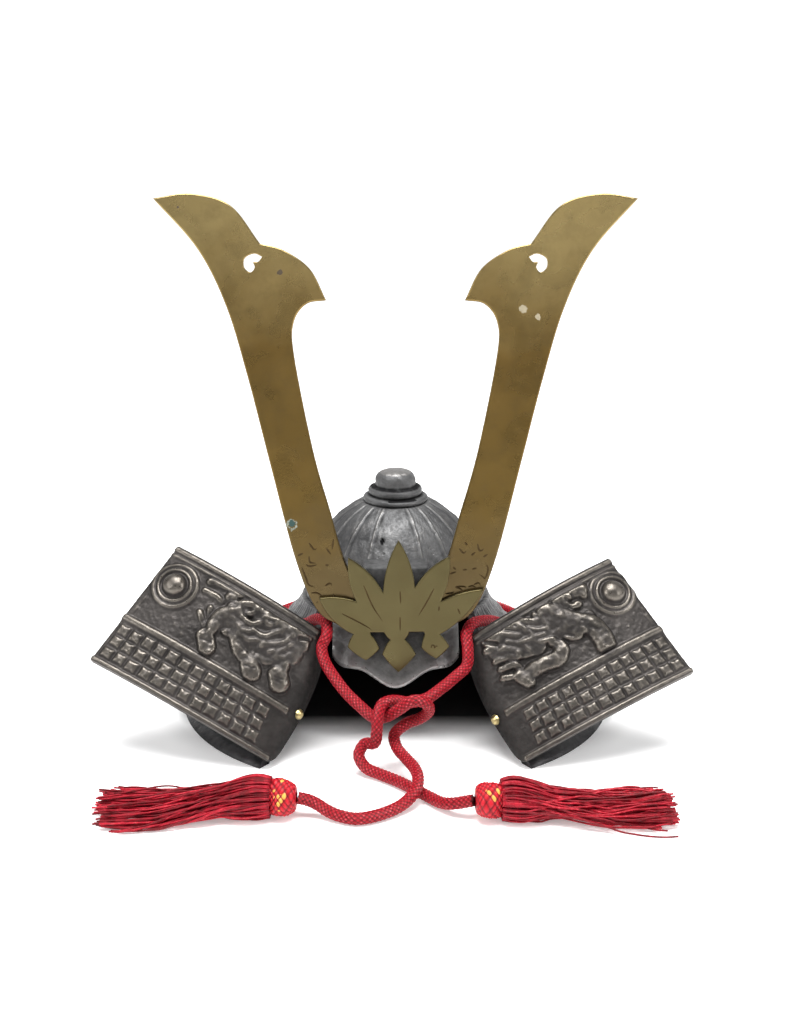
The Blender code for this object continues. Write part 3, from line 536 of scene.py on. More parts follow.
# the cord's middle line in millimetres, from one tassel to the other, measured from the helmet's axis
CORD_ROUTE = [
    (-37.4, -118.4, 7.3), (-33.6, -118.5, 6.4), (-30.0, -119.2, 5.0), (-26.0, -121.2, 3.3),
    (-21.0, -124.0, 2.5), (-14.0, -126.2, 2.5), (-5.5, -122.6, 2.5), (2.4, -116.4, 3.2),
    (7.6, -109.8, 5.6), (8.9, -102.4, 7.6), (7.6, -95.2, 8.4), (4.4, -87.6, 9.0), (0.6, -80.6, 10.6),
    (-0.4, -74.0, 13.4), (4.4, -70.6, 16.6), (10.4, -70.4, 19.2), (13.6, -73.2, 23.6),
    (12.2, -77.0, 28.6), (7.0, -78.8, 30.4), (1.6, -78.4, 26.6), (-3.6, -76.2, 22.4),
    (-8.8, -74.0, 21.0), (-14.2, -70.0, 23.9), (-19.9, -65.2, 27.6), (-24.7, -61.0, 32.2),
    (-29.2, -56.6, 38.0), (-30.8, -53.2, 43.4), (-28.8, -50.8, 48.2), (-29.4, -45.6, 51.8),
    (-33.4, -38.8, 50.8), (-38.8, -31.5, 46.0), (-45.8, -24.0, 41.4), (-54.6, -14.6, 36.4),
    (-61.9, -4.0, 31.0), (-65.4, 9.0, 27.8), (-62.0, 23.4, 27.0), (-53.6, 39.0, 27.0),
    (-40.6, 52.4, 27.0), (-24.4, 61.6, 27.0), (-8.2, 65.8, 27.0), (8.2, 65.8, 27.0),
    (24.4, 61.6, 27.0), (40.6, 52.4, 27.0), (53.6, 39.0, 27.0), (62.0, 23.4, 27.0), (65.4, 9.0, 27.8),
    (61.9, -4.0, 31.4), (55.0, -14.4, 36.8), (47.8, -23.0, 42.4), (42.2, -30.4, 46.8),
    (37.8, -37.0, 49.4), (32.6, -43.8, 50.6), (29.8, -49.2, 48.2), (30.2, -53.8, 43.2),
    (29.6, -57.2, 36.9), (24.3, -61.0, 33.0), (18.4, -65.0, 29.6), (12.6, -69.6, 27.4),
    (5.6, -72.0, 26.8), (-0.8, -72.8, 27.9), (-5.4, -76.4, 27.6), (-7.2, -80.6, 23.4),
    (-7.6, -82.0, 17.8), (-8.6, -80.6, 12.6), (-12.6, -79.2, 11.6), (-14.9, -81.6, 7.6),
    (-12.0, -84.6, 3.6), (-6.0, -88.4, 2.5), (1.0, -94.6, 2.5), (7.6, -101.8, 2.5),
    (13.4, -108.4, 2.5), (17.8, -114.0, 3.0), (22.4, -118.2, 4.8), (29.6, -120.4, 7.2),
]
BRAID_AROUND = 8
BRAID_PITCH = 1.9 * MM
BRAID_DEPTH = 0.5 * MM
BRAID_MEAN = 0.62
CORD_SIDES = 40


def red_thread(name, deep, bright, highlight_tint, pattern):
    """Dyed silk-like thread: bright on the crowns of its strands, a painted highlight with pale painted
    glints, and deep red between them and in the twist, painted shade.
    """
    material, n, shader = new_material(name)
    height = n.attribute("wear_and_shading")
    stretched = n.add("ShaderNodeMapping")
    n.fill(stretched, Vector=n.add("ShaderNodeUVMap").outputs["UV"], Scale=pattern)
    twist = n.add("ShaderNodeTexWave", wave_type="BANDS", bands_direction="DIAGONAL")
    n.fill(twist, Vector=stretched.outputs["Vector"], Scale=1.0, Distortion=0.6)
    lines = twist.outputs["Fac"]
    tone = n.mix(n.ramp(height, -0.45, 0.8), deep, bright)
    highlight_fleck = n.ramp(n.noise(n.place(), 900.0, 2.0), 0.5, 0.62)
    highlight_fleck = n.math("MULTIPLY", highlight_fleck, n.ramp(height, 0.25, 0.95))
    tone = n.mix(n.math("MULTIPLY", highlight_fleck, 0.75), tone, highlight_tint)
    tone = n.mix(n.ramp(lines, 0.0, 0.35, 0.35, 0.0), tone, deep)
    n.fill(shader, Base_Color=tone, Roughness=0.42, Specular_IOR_Level=0.28,
           Normal=n.bump(lines, 0.10 * MM, 0.8))
    return material


# deep red for painted shade, bright red for painted highlight, a pale tint for painted glints, and the
# twist's scale
RED_BRAID = red_thread("red_braid", (0.07, 0.0006, 0.0025), (0.52, 0.005, 0.018),
                       (0.85, 0.16, 0.19), (24.0, 1.1, 1.0))
RED_FRINGE = red_thread("red_fringe", (0.13, 0.001, 0.005), (0.55, 0.008, 0.028),
                        (0.78, 0.08, 0.10), (1.0, 1.1, 1.0))


def make_cord():
    """Round braid along the route, its strands raised on the tube."""
    route = smooth_route([Vector(p) * MM + Vector((0.0, AXIS_Y, 0.0)) for p in CORD_ROUTE], 0.45 * MM)
    length = sum((b - a).length for a, b in zip(route, route[1:]))
    step = length / (len(route) - 1)

    def crown(u, i):
        along = i * step / BRAID_PITCH
        return plait(BRAID_AROUND * u + along + 0.01, BRAID_AROUND * u - along + 0.01, 0.35)

    work = tube_mesh()
    # the strands' crown height, which the thread material paints bright as a highlight and deep red between
    # as shade
    lay_tube(work, route, CORD_SIDES, lambda u, i: CORD_R + BRAID_DEPTH * (crown(u, i) - BRAID_MEAN),
             lambda u, i: crown(u, i) * 2 - 1, length / MM)
    close_up(work, CORD_SIDES + 1, 0.002 * MM)
    return finish_piece("braided_cord", work, "cord", RED_BRAID), route, length


cord, cord_route, cord_length = make_cord()


# tassels

TASSELS = {
    "left": {"head": (-43.9, -118.4), "heading": 178.0, "seed": 4, "gold": 0.35},
    "right": {"head": (36.5, -120.7), "heading": 3.0, "seed": 9, "gold": 2.6},
}
HEAD_AROUND = 144
HEAD_ALONG = 84
THREADS = 230
OUTER_THREADS = 130
THREAD_R = 0.40 * MM
THREAD_SIDES = 6
THREAD_STEP_MM = 1.7


def knotted_head_material():
    """Woven knot of the tassel: red cords with a few gold threads among them; bright on the crowns as a
    painted highlight, deep red in the creases as painted shade.
    """
    material, n, shader = new_material("tassel_head_weave")
    height = n.attribute("wear_and_shading")
    tone = n.mix(n.ramp(height, -0.8, 0.8), (0.09, 0.001, 0.004), (0.58, 0.010, 0.022))
    glint = n.math("MULTIPLY", n.attribute("gold"), n.ramp(height, -0.1, 0.35))
    tone = n.mix(glint, tone, (0.85, 0.42, 0.08))
    n.fill(shader, Base_Color=tone, Roughness=0.42, Specular_IOR_Level=0.3,
           Normal=n.bump(n.noise(n.place(), 2200.0, 2.0), 0.08 * MM, 0.7))
    return material


HEAD_WEAVE = knotted_head_material()


def tassel_place(side):
    row = TASSELS[side]
    place = Vector((row["head"][0] * MM, row["head"][1] * MM + AXIS_Y, TASSEL_HEAD_R + FLOOR_CLEAR))
    return Matrix.Translation(place) @ Matrix.Rotation(math.radians(row["heading"]), 4, "Z")


def make_head(side):
    """Barrel-shaped knot of plaited thread, with a few gold threads near its lower middle."""
    work = bmesh.new()
    layer = work.verts.layers.float.new("wear_and_shading")
    gold = work.verts.layers.float.new("gold")
    rng = random.Random(TASSELS[side]["seed"])
    glints = {}
    made = bmesh.ops.create_grid(work, x_segments=HEAD_AROUND, y_segments=HEAD_ALONG, size=0.5)["verts"]
    for vert in made:
        u, v = vert.co.x + 0.5, vert.co.y + 0.5
        turn = 2 * math.pi * u
        bend = math.pi * (0.04 + 0.92 * v)
        x = -TASSEL_HEAD_L / 2 * math.cos(bend) * (1.13 if v < 0.5 else 1.0)
        p = 12 * u + 7 * v + 0.3 * math.sin(9 * v + 12.6 * u)
        q = 12 * u - 7 * v + 0.3 * math.sin(7 * v - 18.8 * u)
        strand = plait(p, q, 0.4)
        lumps = 0.35 * math.sin(2 * turn + 5 * v) + 0.3 * math.sin(3 * turn - 7 * v)
        radius = (TASSEL_HEAD_R - 0.75 * MM + lumps * MM) * math.sin(bend) ** 0.42
        radius += 0.8 * MM * strand * math.sin(bend) ** 0.5
        cell = (math.floor(p), math.floor(q))
        if cell not in glints:
            glints[cell] = rng.random()
        toward = max(0.0, math.cos(turn - TASSELS[side]["gold"])) * math.sin(bend)
        vert[gold] = 1.0 if glints[cell] < 0.7 * toward ** 14 + 0.012 else 0.0
        # crown height of the plait: painted highlight on the crowns, painted shade in the creases
        vert[layer] = strand * 2 - 1
        vert.co = (x, radius * math.cos(turn), radius * math.sin(turn))
    close_up(work, HEAD_AROUND + 1, 0.002 * MM)
    bmesh.ops.transform(work, matrix=tassel_place(side), verts=work.verts)
    return finish_piece("tassel_head_" + side, work, "tassel_" + side, HEAD_WEAVE)


def strand_path(rng, start, side_end, end_z, length):
    """One thread of the fringe, from the head down on to the table."""
    points = []
    wave = rng.uniform(0.5, 2.4)
    phase = rng.uniform(0.0, 2 * math.pi)
    turns = rng.uniform(1.2, 4.2)
    lift = rng.uniform(0.10, 0.26)
    floor = 0.6 * MM - TASSEL_HEAD_R
    for step in range(17):
        u = step / 16
        ease = u * u * (3 - 2 * u)
        pinch = 0.28 * math.sin(math.pi * min(1.0, u * 1.15)) ** 2
        swell = 1 + lift * math.sin(math.pi * min(1.0, u * 3.2)) - pinch
        drop = max(0.0, min(1.0, (u - 0.06) * 1.6)) ** 1.2
        swing = phase + turns * math.pi * u
        loose = min(1.0, u * 2.5)
        y = start[0] * swell * (1 - ease) + side_end * ease + wave * MM * math.sin(swing) * loose
        z = start[1] * swell * (1 - drop) + end_z * drop + 0.5 * wave * MM * math.cos(swing) * loose
        points.append(Vector((TASSEL_HEAD_L * 0.34 + length * u, y, max(z, floor))))
    return points


def make_fringe(side):
    """Fine twisted threads in one piece, laid out from the head in a spreading bundle."""
    rng = random.Random(TASSELS[side]["seed"] + 100)
    strands = []
    for index in range(THREADS):
        turn = rng.uniform(0, 2 * math.pi)
        share = 1.0 if index < OUTER_THREADS else math.sqrt(rng.random()) * 0.9
        reach = (TASSEL_HEAD_R + 0.5 * MM) * share
        start = (reach * math.cos(turn), reach * math.sin(turn))
        spread = start[0] / TASSEL_HEAD_R * 9 * MM + rng.gauss(0.0, 5.5) * MM
        spread = max(-20 * MM, min(20 * MM, spread))
        pile = 8 * MM * max(0.0, 1 - abs(spread) / (21 * MM)) * rng.random()
        length = FRINGE_L * rng.uniform(0.84, 1.0) * (1 - 0.06 * (spread / (20 * MM)) ** 2)
        strands.append(strand_path(rng, start, spread, 0.7 * MM - TASSEL_HEAD_R + pile, length))
    work = tube_mesh()
    for points in strands:
        route = smooth_route(points, THREAD_STEP_MM * MM)
        shade = rng.uniform(-0.45, 0.75)
        # a random tone for each thread, varying round it; the thread material shows its high values with
        # painted highlights
        lay_tube(work, route, THREAD_SIDES, lambda u, i: THREAD_R,
                 lambda u, i: shade + 0.3 * math.sin(u * 2 * math.pi + i * 1.9),
                 (len(route) - 1) * THREAD_STEP_MM)
    close_up(work, THREAD_SIDES + 1, 0.0005 * MM)
    bmesh.ops.transform(work, matrix=tassel_place(side), verts=work.verts)
    return finish_piece("tassel_fringe_" + side, work, "tassel_" + side, RED_FRINGE)


tassel_pieces = []
for which in ("left", "right"):
    tassel_pieces += [make_head(which), make_fringe(which)]


# wings

TOP_RIDGES = ((0.008, 0.052, 1.0), (0.064, 0.086, 0.85))
FIELD_TOP = 0.10
BAND_RIDGE = (0.600, 0.655, 1.1)
FINE_RIDGE = (0.664, 0.674, 0.35)
TILES_TOP = 0.668
TILES_LOW = 0.952
TILE_ROWS = 3
TILE_COLUMNS = 12
TILES_IN = 0.075
TILES_OUT = 0.985
LOW_RIDGE = (0.962, 0.996, 0.9)
BOSS_RINGS = ((10.4, 8.4, 1.3), (7.9, 6.2, 2.0))
BOSS_DOME = (5.2, 4.0)
BOSSES = {"left": (60.9, 16.3), "right": (59.6, 14.8)}
# cast creatures: strokes across and down from the inner top corner in millimetres, then half
# width, height of the stroke's foot and height of its crown above that
CREATURES = {
    "left": [
        ([(48.6, 7.2), (44.0, 5.7), (36.5, 5.3)], 1.4, 0.6, 1.0),
        ([(45.9, 5.2), (41.0, 3.2), (36.7, 3.8)], 1.0, 0.5, 0.8),
        ([(48.7, 11.6), (43.3, 11.3), (39.8, 12.0)], 1.0, 0.5, 0.9),
        ([(37.9, 8.9), (36.4, 8.4)], 2.0, 0.8, 1.2),
        ([(36.3, 5.6), (34.6, 5.7)], 1.7, 0.8, 1.2),
        ([(35.3, 11.7), (31.3, 8.5), (27.1, 6.6), (23.8, 7.0)], 1.4, 1.2, 1.4),
        ([(23.5, 7.5), (26.9, 10.5), (31.4, 11.7), (33.8, 14.0)], 1.2, 1.1, 1.2),
        ([(31.6, 12.6), (36.4, 17.1), (36.9, 22.1)], 2.9, 0.8, 2.0),
        ([(36.3, 21.8), (36.8, 26.8)], 2.6, 0.8, 1.8),
        ([(37.2, 28.5), (34.0, 32.0)], 3.5, 1.6, 1.2),
        ([(45.2, 20.7), (42.4, 23.1), (39.4, 25.2)], 1.1, 0.4, 0.9),
        ([(42.4, 16.8), (41.1, 19.9), (39.1, 21.1)], 1.0, 0.4, 0.8),
        ([(30.8, 18.4), (21.5, 18.8), (13.0, 17.9), (4.8, 15.6)], 5.2, 0.6, 1.5),
        ([(19.7, 9.8), (11.2, 9.0), (4.3, 10.5)], 4.8, 0.6, 1.5),
        ([(32.3, 16.2), (28.1, 16.7), (26.1, 18.6), (22.6, 17.1)], 1.1, 1.7, 1.3),
        ([(28.5, 13.8), (23.8, 14.0), (20.6, 10.8), (17.1, 10.4)], 1.1, 1.7, 1.3),
        ([(21.8, 15.9), (17.2, 16.0), (14.2, 12.5), (11.8, 9.3)], 1.1, 1.8, 1.3),
        ([(21.0, 9.1), (16.9, 7.2), (12.8, 7.6), (11.6, 10.8)], 1.0, 1.7, 1.2),
        ([(26.5, 20.4), (21.8, 20.6), (17.7, 18.7), (13.0, 17.9)], 1.1, 1.7, 1.3),
        ([(15.6, 19.7), (12.3, 16.7), (9.0, 13.7), (7.2, 9.4)], 1.1, 1.8, 1.3),
        ([(11.6, 20.1), (7.9, 17.7), (6.2, 13.4), (5.1, 10.3)], 1.0, 1.7, 1.2),
        ([(15.3, 8.5), (10.5, 7.7), (6.7, 9.0)], 1.0, 1.7, 1.2),
        ([(13.3, 5.6), (9.6, 5.5), (6.3, 7.2)], 1.0, 1.5, 1.2),
        ([(26.8, 22.2), (22.9, 25.9), (17.7, 28.0)], 2.6, 0.6, 1.9),
        ([(15.0, 29.3), (13.1, 31.1)], 3.8, 1.0, 1.9),
        ([(16.2, 24.7), (10.5, 24.1), (6.4, 21.3)], 1.8, 0.6, 1.4),
        ([(8.8, 19.8), (4.6, 19.4), (3.4, 22.4)], 2.4, 0.6, 1.8),
        ([(3.5, 26.3), (1.3, 28.7)], 3.9, 1.0, 1.9),
        ([(7.2, 4.7), (4.9, 4.7)], 4.0, 1.2, 1.8),
        ([(3.0, 6.5), (1.6, 4.0)], 2.2, 0.8, 1.4),
        ([(3.8, 17.2), (3.1, 13.6)], 2.6, 0.6, 1.6),
    ],
    "right": [
        ([(37.1, 6.1), (40.9, 5.9), (45.3, 6.1), (48.1, 7.2)], 3.0, 0.8, 1.5),
        ([(47.6, 7.3), (47.8, 10.1)], 1.3, 1.4, 1.0),
        ([(40.7, 11.9), (43.5, 12.3)], 1.6, 1.0, 1.1),
        ([(36.9, 7.5), (39.1, 9.9)], 1.6, 1.0, 1.1),
        ([(30.1, 8.9), (34.4, 13.6), (38.4, 18.9), (43.1, 23.0), (44.2, 28.1), (43.7, 32.7)],
         4.2, 0.8, 2.2),
        ([(31.2, 11.8), (33.0, 18.1), (35.5, 21.0)], 4.4, 0.6, 2.0),
        ([(45.0, 18.7), (45.1, 19.1)], 2.4, 0.3, 0.8),
        ([(9.7, 4.5), (15.2, 5.0), (20.7, 7.7), (25.4, 10.5)], 1.3, 1.6, 1.2),
        ([(2.4, 4.8), (7.7, 5.4), (11.5, 8.6), (14.7, 11.4)], 1.2, 1.7, 1.2),
        ([(0.8, 9.8), (5.5, 11.4), (9.2, 14.6), (12.4, 17.4)], 1.3, 1.6, 1.2),
        ([(1.6, 15.5), (6.5, 16.6), (10.1, 18.9)], 1.2, 1.4, 1.1),
        ([(17.4, 7.1), (18.6, 10.9), (20.4, 15.0), (23.9, 16.4)], 1.0, 1.8, 1.2),
        ([(14.4, 14.2), (18.7, 15.4), (21.1, 18.4), (26.0, 19.9)], 1.0, 1.8, 1.2),
        ([(25.0, 6.6), (24.5, 8.5), (22.1, 10.0)], 0.9, 1.2, 1.0),
        ([(27.3, 8.7), (26.8, 12.9), (28.7, 15.6)], 1.0, 1.8, 1.1),
        ([(9.8, 11.3), (13.1, 14.1), (15.3, 18.5)], 1.0, 1.7, 1.1),
        ([(11.2, 3.2), (15.0, 7.5), (18.8, 9.5)], 0.9, 1.6, 1.1),
        ([(20.3, 10.5), (22.8, 13.5), (26.3, 14.8)], 0.9, 1.8, 1.1),
        ([(7.4, 8.2), (12.5, 11.5), (19.4, 14.3), (25.9, 15.4)], 5.0, 0.6, 1.5),
        ([(4.8, 12.5), (11.2, 15.9), (18.9, 18.5)], 4.2, 0.6, 1.4),
        ([(4.4, 6.2), (8.1, 7.1)], 3.4, 1.2, 1.4),
        ([(25.3, 20.9), (27.7, 23.9), (27.4, 26.7)], 2.2, 0.8, 1.7),
        ([(26.4, 26.0), (23.6, 28.1), (17.1, 27.0), (11.4, 27.1), (8.2, 28.7)], 3.2, 0.8, 2.0),
        ([(6.8, 26.4), (8.4, 29.6)], 2.9, 1.0, 1.8),
        ([(1.9, 19.5), (6.9, 20.5), (8.3, 22.9)], 1.3, 0.9, 1.2),
        ([(0.5, 23.0), (4.3, 24.7), (7.5, 25.3)], 1.2, 0.9, 1.2),
    ],
}
# chased lines that sink into the creatures: points, half width, depth
CREATURE_LINES = {
    "left": [
        ([(4.3, 8.2), (1.2, 6.5)], 1.0, 1.6), ([(6.2, 5.6), (4.8, 3.8)], 0.6, 0.6),
        ([(33.0, 22.1), (29.9, 19.8)], 0.8, 0.5), ([(16.9, 30.5), (12.5, 29.2)], 0.5, 0.4),
        ([(4.5, 27.8), (1.2, 27.1)], 0.5, 0.4), ([(38.1, 30.6), (33.1, 29.9)], 0.5, 0.4),
    ],
    "right": [
        ([(2.0, 6.1), (5.7, 9.3)], 1.0, 1.6), ([(40.0, 7.3), (41.5, 10.8)], 0.7, 0.9),
        ([(43.1, 7.2), (43.2, 9.9)], 0.6, 0.8), ([(9.9, 30.5), (13.6, 29.2)], 0.5, 0.4),
        ([(31.2, 20.8), (34.1, 23.2)], 0.7, 0.6),
    ],
}


def guard_radius(z):
    share = np.maximum(0.0, 1 - z / GUARD_TOP_Z)
    return GUARD_TOP_R + (RIM_R - GUARD_TOP_R) * share ** GUARD_FLARE


def guard_normal(z):
    step = 0.5 * MM
    low = np.maximum(0.0, z - step)
    slope = (guard_radius(z + step) - guard_radius(low)) / (z + step - low)
    length = np.hypot(1.0, slope)
    return 1.0 / length, -slope / length


def edge_azimuth(radius):
    """Angle from the front at which the guard's front edge meets a radius."""
    top, rim = math.radians(EDGE_TOP_DEG), math.radians(EDGE_RIM_DEG)
    start = np.array([GUARD_TOP_R * math.sin(top), -GUARD_TOP_R * math.cos(top)])
    end = np.array([RIM_R * math.sin(rim), -RIM_R * math.cos(rim)])
    along = (end - start) / np.linalg.norm(end - start)
    b = start @ along
    s = -b + np.sqrt(b * b - start @ start + radius * radius)
    return np.arctan2(start[0] + along[0] * s, -(start[1] + along[1] * s))


def wing_middle(side, folds, shares, rows):
    """Table of the wing's middle surface: flange, fold and plate, from top to bottom."""
    sign = -1 if side == "left" else 1
    corner = {name: np.array((sign * x, y, z)) * MM for name, (x, y, z) in WING_CORNERS[side].items()}
    across = corner["outer_top"] - corner["inner_top"]
    across /= np.linalg.norm(across)
    down = corner["inner_low"] - corner["inner_top"]
    front = np.cross(across, down)
    front /= np.linalg.norm(front)
    if front[1] > 0:
        front = -front
    flat_down = down - across * (down @ across)
    flat_down /= np.linalg.norm(flat_down)
    depth = GUARD_WALL + GAP + WING_T / 2 + 0.2 * MM

    def plate(s, t):
        top = corner["inner_top"] * (1 - s) + corner["outer_top"] * s
        low = corner["inner_low"] * (1 - s) + corner["outer_low"] * s
        return top * (1 - t) + low * t, front * WING_SAG * 4 * s * (1 - s)

    def flange(z, back):
        radius = guard_radius(z)
        radial, up = guard_normal(z)
        turn = edge_azimuth(radius) + back / radius
        r = radius - depth * radial
        return np.array([sign * r * math.sin(turn), -r * math.cos(turn), z - depth * up])

    table = np.zeros((len(rows), len(folds) + len(shares), 3))
    flat = np.full((len(rows), len(folds) + len(shares), 2), -99.0)
    for i, t in enumerate(rows):
        z = FLANGE_TOP_Z + (FLANGE_LOW_Z - FLANGE_TOP_Z) * t
        root = flange(z, 0.0)
        heading = root - flange(z, 1 * MM)
        heading /= np.linalg.norm(heading)
        start = plate(0.0, t)[0]
        six = plate(0.06, t)
        leaving = start - six[0] - six[1]
        leaving /= np.linalg.norm(leaving)
        reach = (4 + 20 * t * (1 - t)) * MM
        for j, w in enumerate(folds):
            if w < 0:
                table[i, j] = flange(z, -w * FLANGE_BACK)
            else:
                table[i, j] = (root * (1 - w) ** 3 + (root + heading * reach) * 3 * w * (1 - w) ** 2
                               + (start + leaving * reach * 0.7) * 3 * w * w * (1 - w) + start * w ** 3)
        for j, s in enumerate(shares):
            place, sag = plate(s, t)
            table[i, len(folds) + j] = place + sag
            from_corner = (place - corner["inner_top"]) / MM
            flat[i, len(folds) + j] = (from_corner @ across, from_corner @ flat_down)
    return table, flat


def stroke_distance(flat, points):
    best = np.full(flat.shape[:2], 1e9)
    for a, b in zip(points, points[1:]):
        a, b = np.array(a), np.array(b)
        span = b - a
        share = np.clip(((flat - a) @ span) / (span @ span), 0.0, 1.0)
        best = np.minimum(best, np.linalg.norm(flat - a - share[:, :, None] * span, axis=2))
    return best


def smooth_points(points):
    if len(points) < 3:
        return points
    route = smooth_route([Vector((x, y, 0.0)) for x, y in points], 0.8)
    return [(p.x, p.y) for p in route]


def value_noise(flat, scale, seed):
    """Soft random heights between 0 and 1 on a plane, the same on each run."""
    rng = np.random.default_rng(seed)
    lattice = rng.random((128, 128))
    x, y = flat[:, :, 0] / scale % 126, flat[:, :, 1] / scale % 126
    i, j = np.floor(x).astype(int), np.floor(y).astype(int)
    fx, fy = x - i, y - j
    fx, fy = fx * fx * (3 - 2 * fx), fy * fy * (3 - 2 * fy)
    top = lattice[i, j] * (1 - fx) + lattice[i + 1, j] * fx
    low = lattice[i, j + 1] * (1 - fx) + lattice[i + 1, j + 1] * fx
    return top * (1 - fy) + low * fy


def rounded_ridge(t, start, end, rise):
    """Moulding with a flat crown and soft shoulders."""
    middle, half = (start + end) / 2, (end - start) / 2
    off = np.clip(np.abs(t - middle) / half, 0.0, 1.0)
    return rise * np.sqrt(1 - off ** 4)


def speckle(flat, scale, seed, depth):
    return (value_noise(flat, scale, seed) - 0.5) * depth


def creature_relief(side, flat):
    """Height of the cast creature: its strokes melted together, lumpy, with chased lines."""
    figure = np.zeros(flat.shape[:2])
    knobbly = value_noise(flat, 0.9, 3) + 0.5 * value_noise(flat, 0.45, 4)
    for points, half, foot, crown in CREATURES[side]:
        thin = half < 1.6
        wide = half * (1.45 if thin else 1.15)
        away = stroke_distance(flat, smooth_points(points)) + (knobbly - 0.75) * 0.3 * min(1.0, half / 2)
        body = np.clip(1 - (away / wide) ** 2, 0.0, 1.0)
        stroke = foot + (0.7 if thin else 1.0) * crown * np.sqrt(body)
        stroke = stroke * np.clip((wide - away) / 0.5, 0.0, 1.0)
        blend = 0.45 * np.clip(np.maximum(stroke, figure) / 0.8, 0.0, 1.0) + 1e-6
        share = np.clip(0.5 + 0.5 * (stroke - figure) / blend, 0.0, 1.0)
        figure = figure * (1 - share) + stroke * share + blend * share * (1 - share)
    lumps = speckle(flat, 2.6, 41, 0.75) + speckle(flat, 1.2, 42, 0.32)
    figure += np.clip(figure, 0.0, 1.0) * (lumps + (knobbly - 0.75) * 0.12)
    for points, half, depth in CREATURE_LINES[side]:
        away = stroke_distance(flat, points)
        figure -= depth * np.clip(1 - (away / half) ** 2, 0.0, 1.0) * (figure > 0.4)
    return figure


def boss_relief(off):
    """Height of the boss at distances from its middle: two rings, a floor and a dome."""
    height = np.where(off < 7.0, 0.9, 0.0)
    for outer, inner, rise in BOSS_RINGS:
        middle, half = (outer + inner) / 2, (outer - inner) / 2 + 0.2
        ring = np.clip(1 - (np.abs(off - middle) / half) ** 2, 0.0, 1.0)
        height = np.maximum(height, rise * np.sqrt(ring))
    dome = np.clip(1 - (off / BOSS_DOME[0]) ** 2, 0.0, 1.0)
    return np.maximum(height, np.where(dome > 0, 0.9 + BOSS_DOME[1] * np.sqrt(dome), 0.0))


def tile_relief(side, flat, s, t):
    """Height of the band of pillow-shaped tiles, each a little out of place."""
    pitch = (TILES_LOW - TILES_TOP) / TILE_ROWS
    column_pitch = (TILES_OUT - TILES_IN) / TILE_COLUMNS
    row = np.floor((t - TILES_TOP) / pitch)
    column = np.floor((s - TILES_IN) / column_pitch)
    y = ((t - TILES_TOP) / pitch - row) * 2 - 1
    x = ((s - TILES_IN) / column_pitch - column) * 2 - 1
    rng = np.random.default_rng(5 if side == "left" else 6)
    jitter = rng.uniform(-0.07, 0.07, (TILE_ROWS + 2, TILE_COLUMNS + 2, 3))
    jitter = jitter[np.clip(row, 0, TILE_ROWS).astype(int), np.clip(column, 0, TILE_COLUMNS).astype(int)]
    x = (x + jitter[:, :, 0]) * (1.03 + jitter[:, :, 2])
    y = (y + jitter[:, :, 1]) * (1.05 + jitter[:, :, 2])
    big, small = np.maximum(np.abs(x), np.abs(y)), np.minimum(np.abs(x), np.abs(y))
    inside = (0.83 + 0.13 * small ** 2) - big - 0.10 * np.clip((small + big - 1.62) / 0.2, 0.0, 1.0)
    tile = np.clip(inside / 0.15, 0.0, 1.0)
    crown = 0.8 + 0.25 * (1 - big ** 2) + speckle(flat, 0.9, 21, 0.4)
    return (-0.1 + speckle(flat, 0.5, 22, 0.15)) * (1 - tile) + crown * tile


def wing_relief(side, flat, shares, rows, fold_count):
    """Height in millimetres of everything cast on the wing's face."""
    t = np.array(rows)[:, None] + np.zeros(fold_count + len(shares))
    s = np.concatenate([np.full(fold_count, -1.0), shares])[None, :] + np.zeros((len(rows), 1))
    height = np.zeros(t.shape)
    plate = s >= 0
    for start, end, rise in TOP_RIDGES + (BAND_RIDGE, LOW_RIDGE, FINE_RIDGE):
        height = np.where(plate, np.maximum(height, rounded_ridge(t, start, end, rise)), height)
    off = np.linalg.norm(flat - np.array(BOSSES[side]), axis=2)
    figure = np.maximum(creature_relief(side, flat), boss_relief(off))
    stipple = speckle(flat, 0.42, 11, 0.34) + speckle(flat, 1.3, 12, 0.2)
    edge_strip = np.where((s > 0.962) & (s < 0.985), 0.35, 0.0)
    ground = np.where(s > 0.985, 0.3, stipple * (off > 10.6))
    figure = np.where(figure > 0.15, figure, ground + edge_strip)
    field = plate & (t > FIELD_TOP - 0.008) & (t < BAND_RIDGE[0] - 0.006)
    height = np.where(field, np.maximum(figure, -0.3), height)
    groove = plate & (t > TILES_LOW + 0.002) & (t < LOW_RIDGE[0])
    height = np.where(groove, -0.25, height)
    in_tiles = plate & (t > TILES_TOP) & (t < TILES_LOW) & (s > TILES_IN) & (s < TILES_OUT)
    height = np.where(in_tiles, tile_relief(side, flat, s, t), height)
    return height + np.where(plate, speckle(flat, 1.6, 31, 0.16), 0.0)


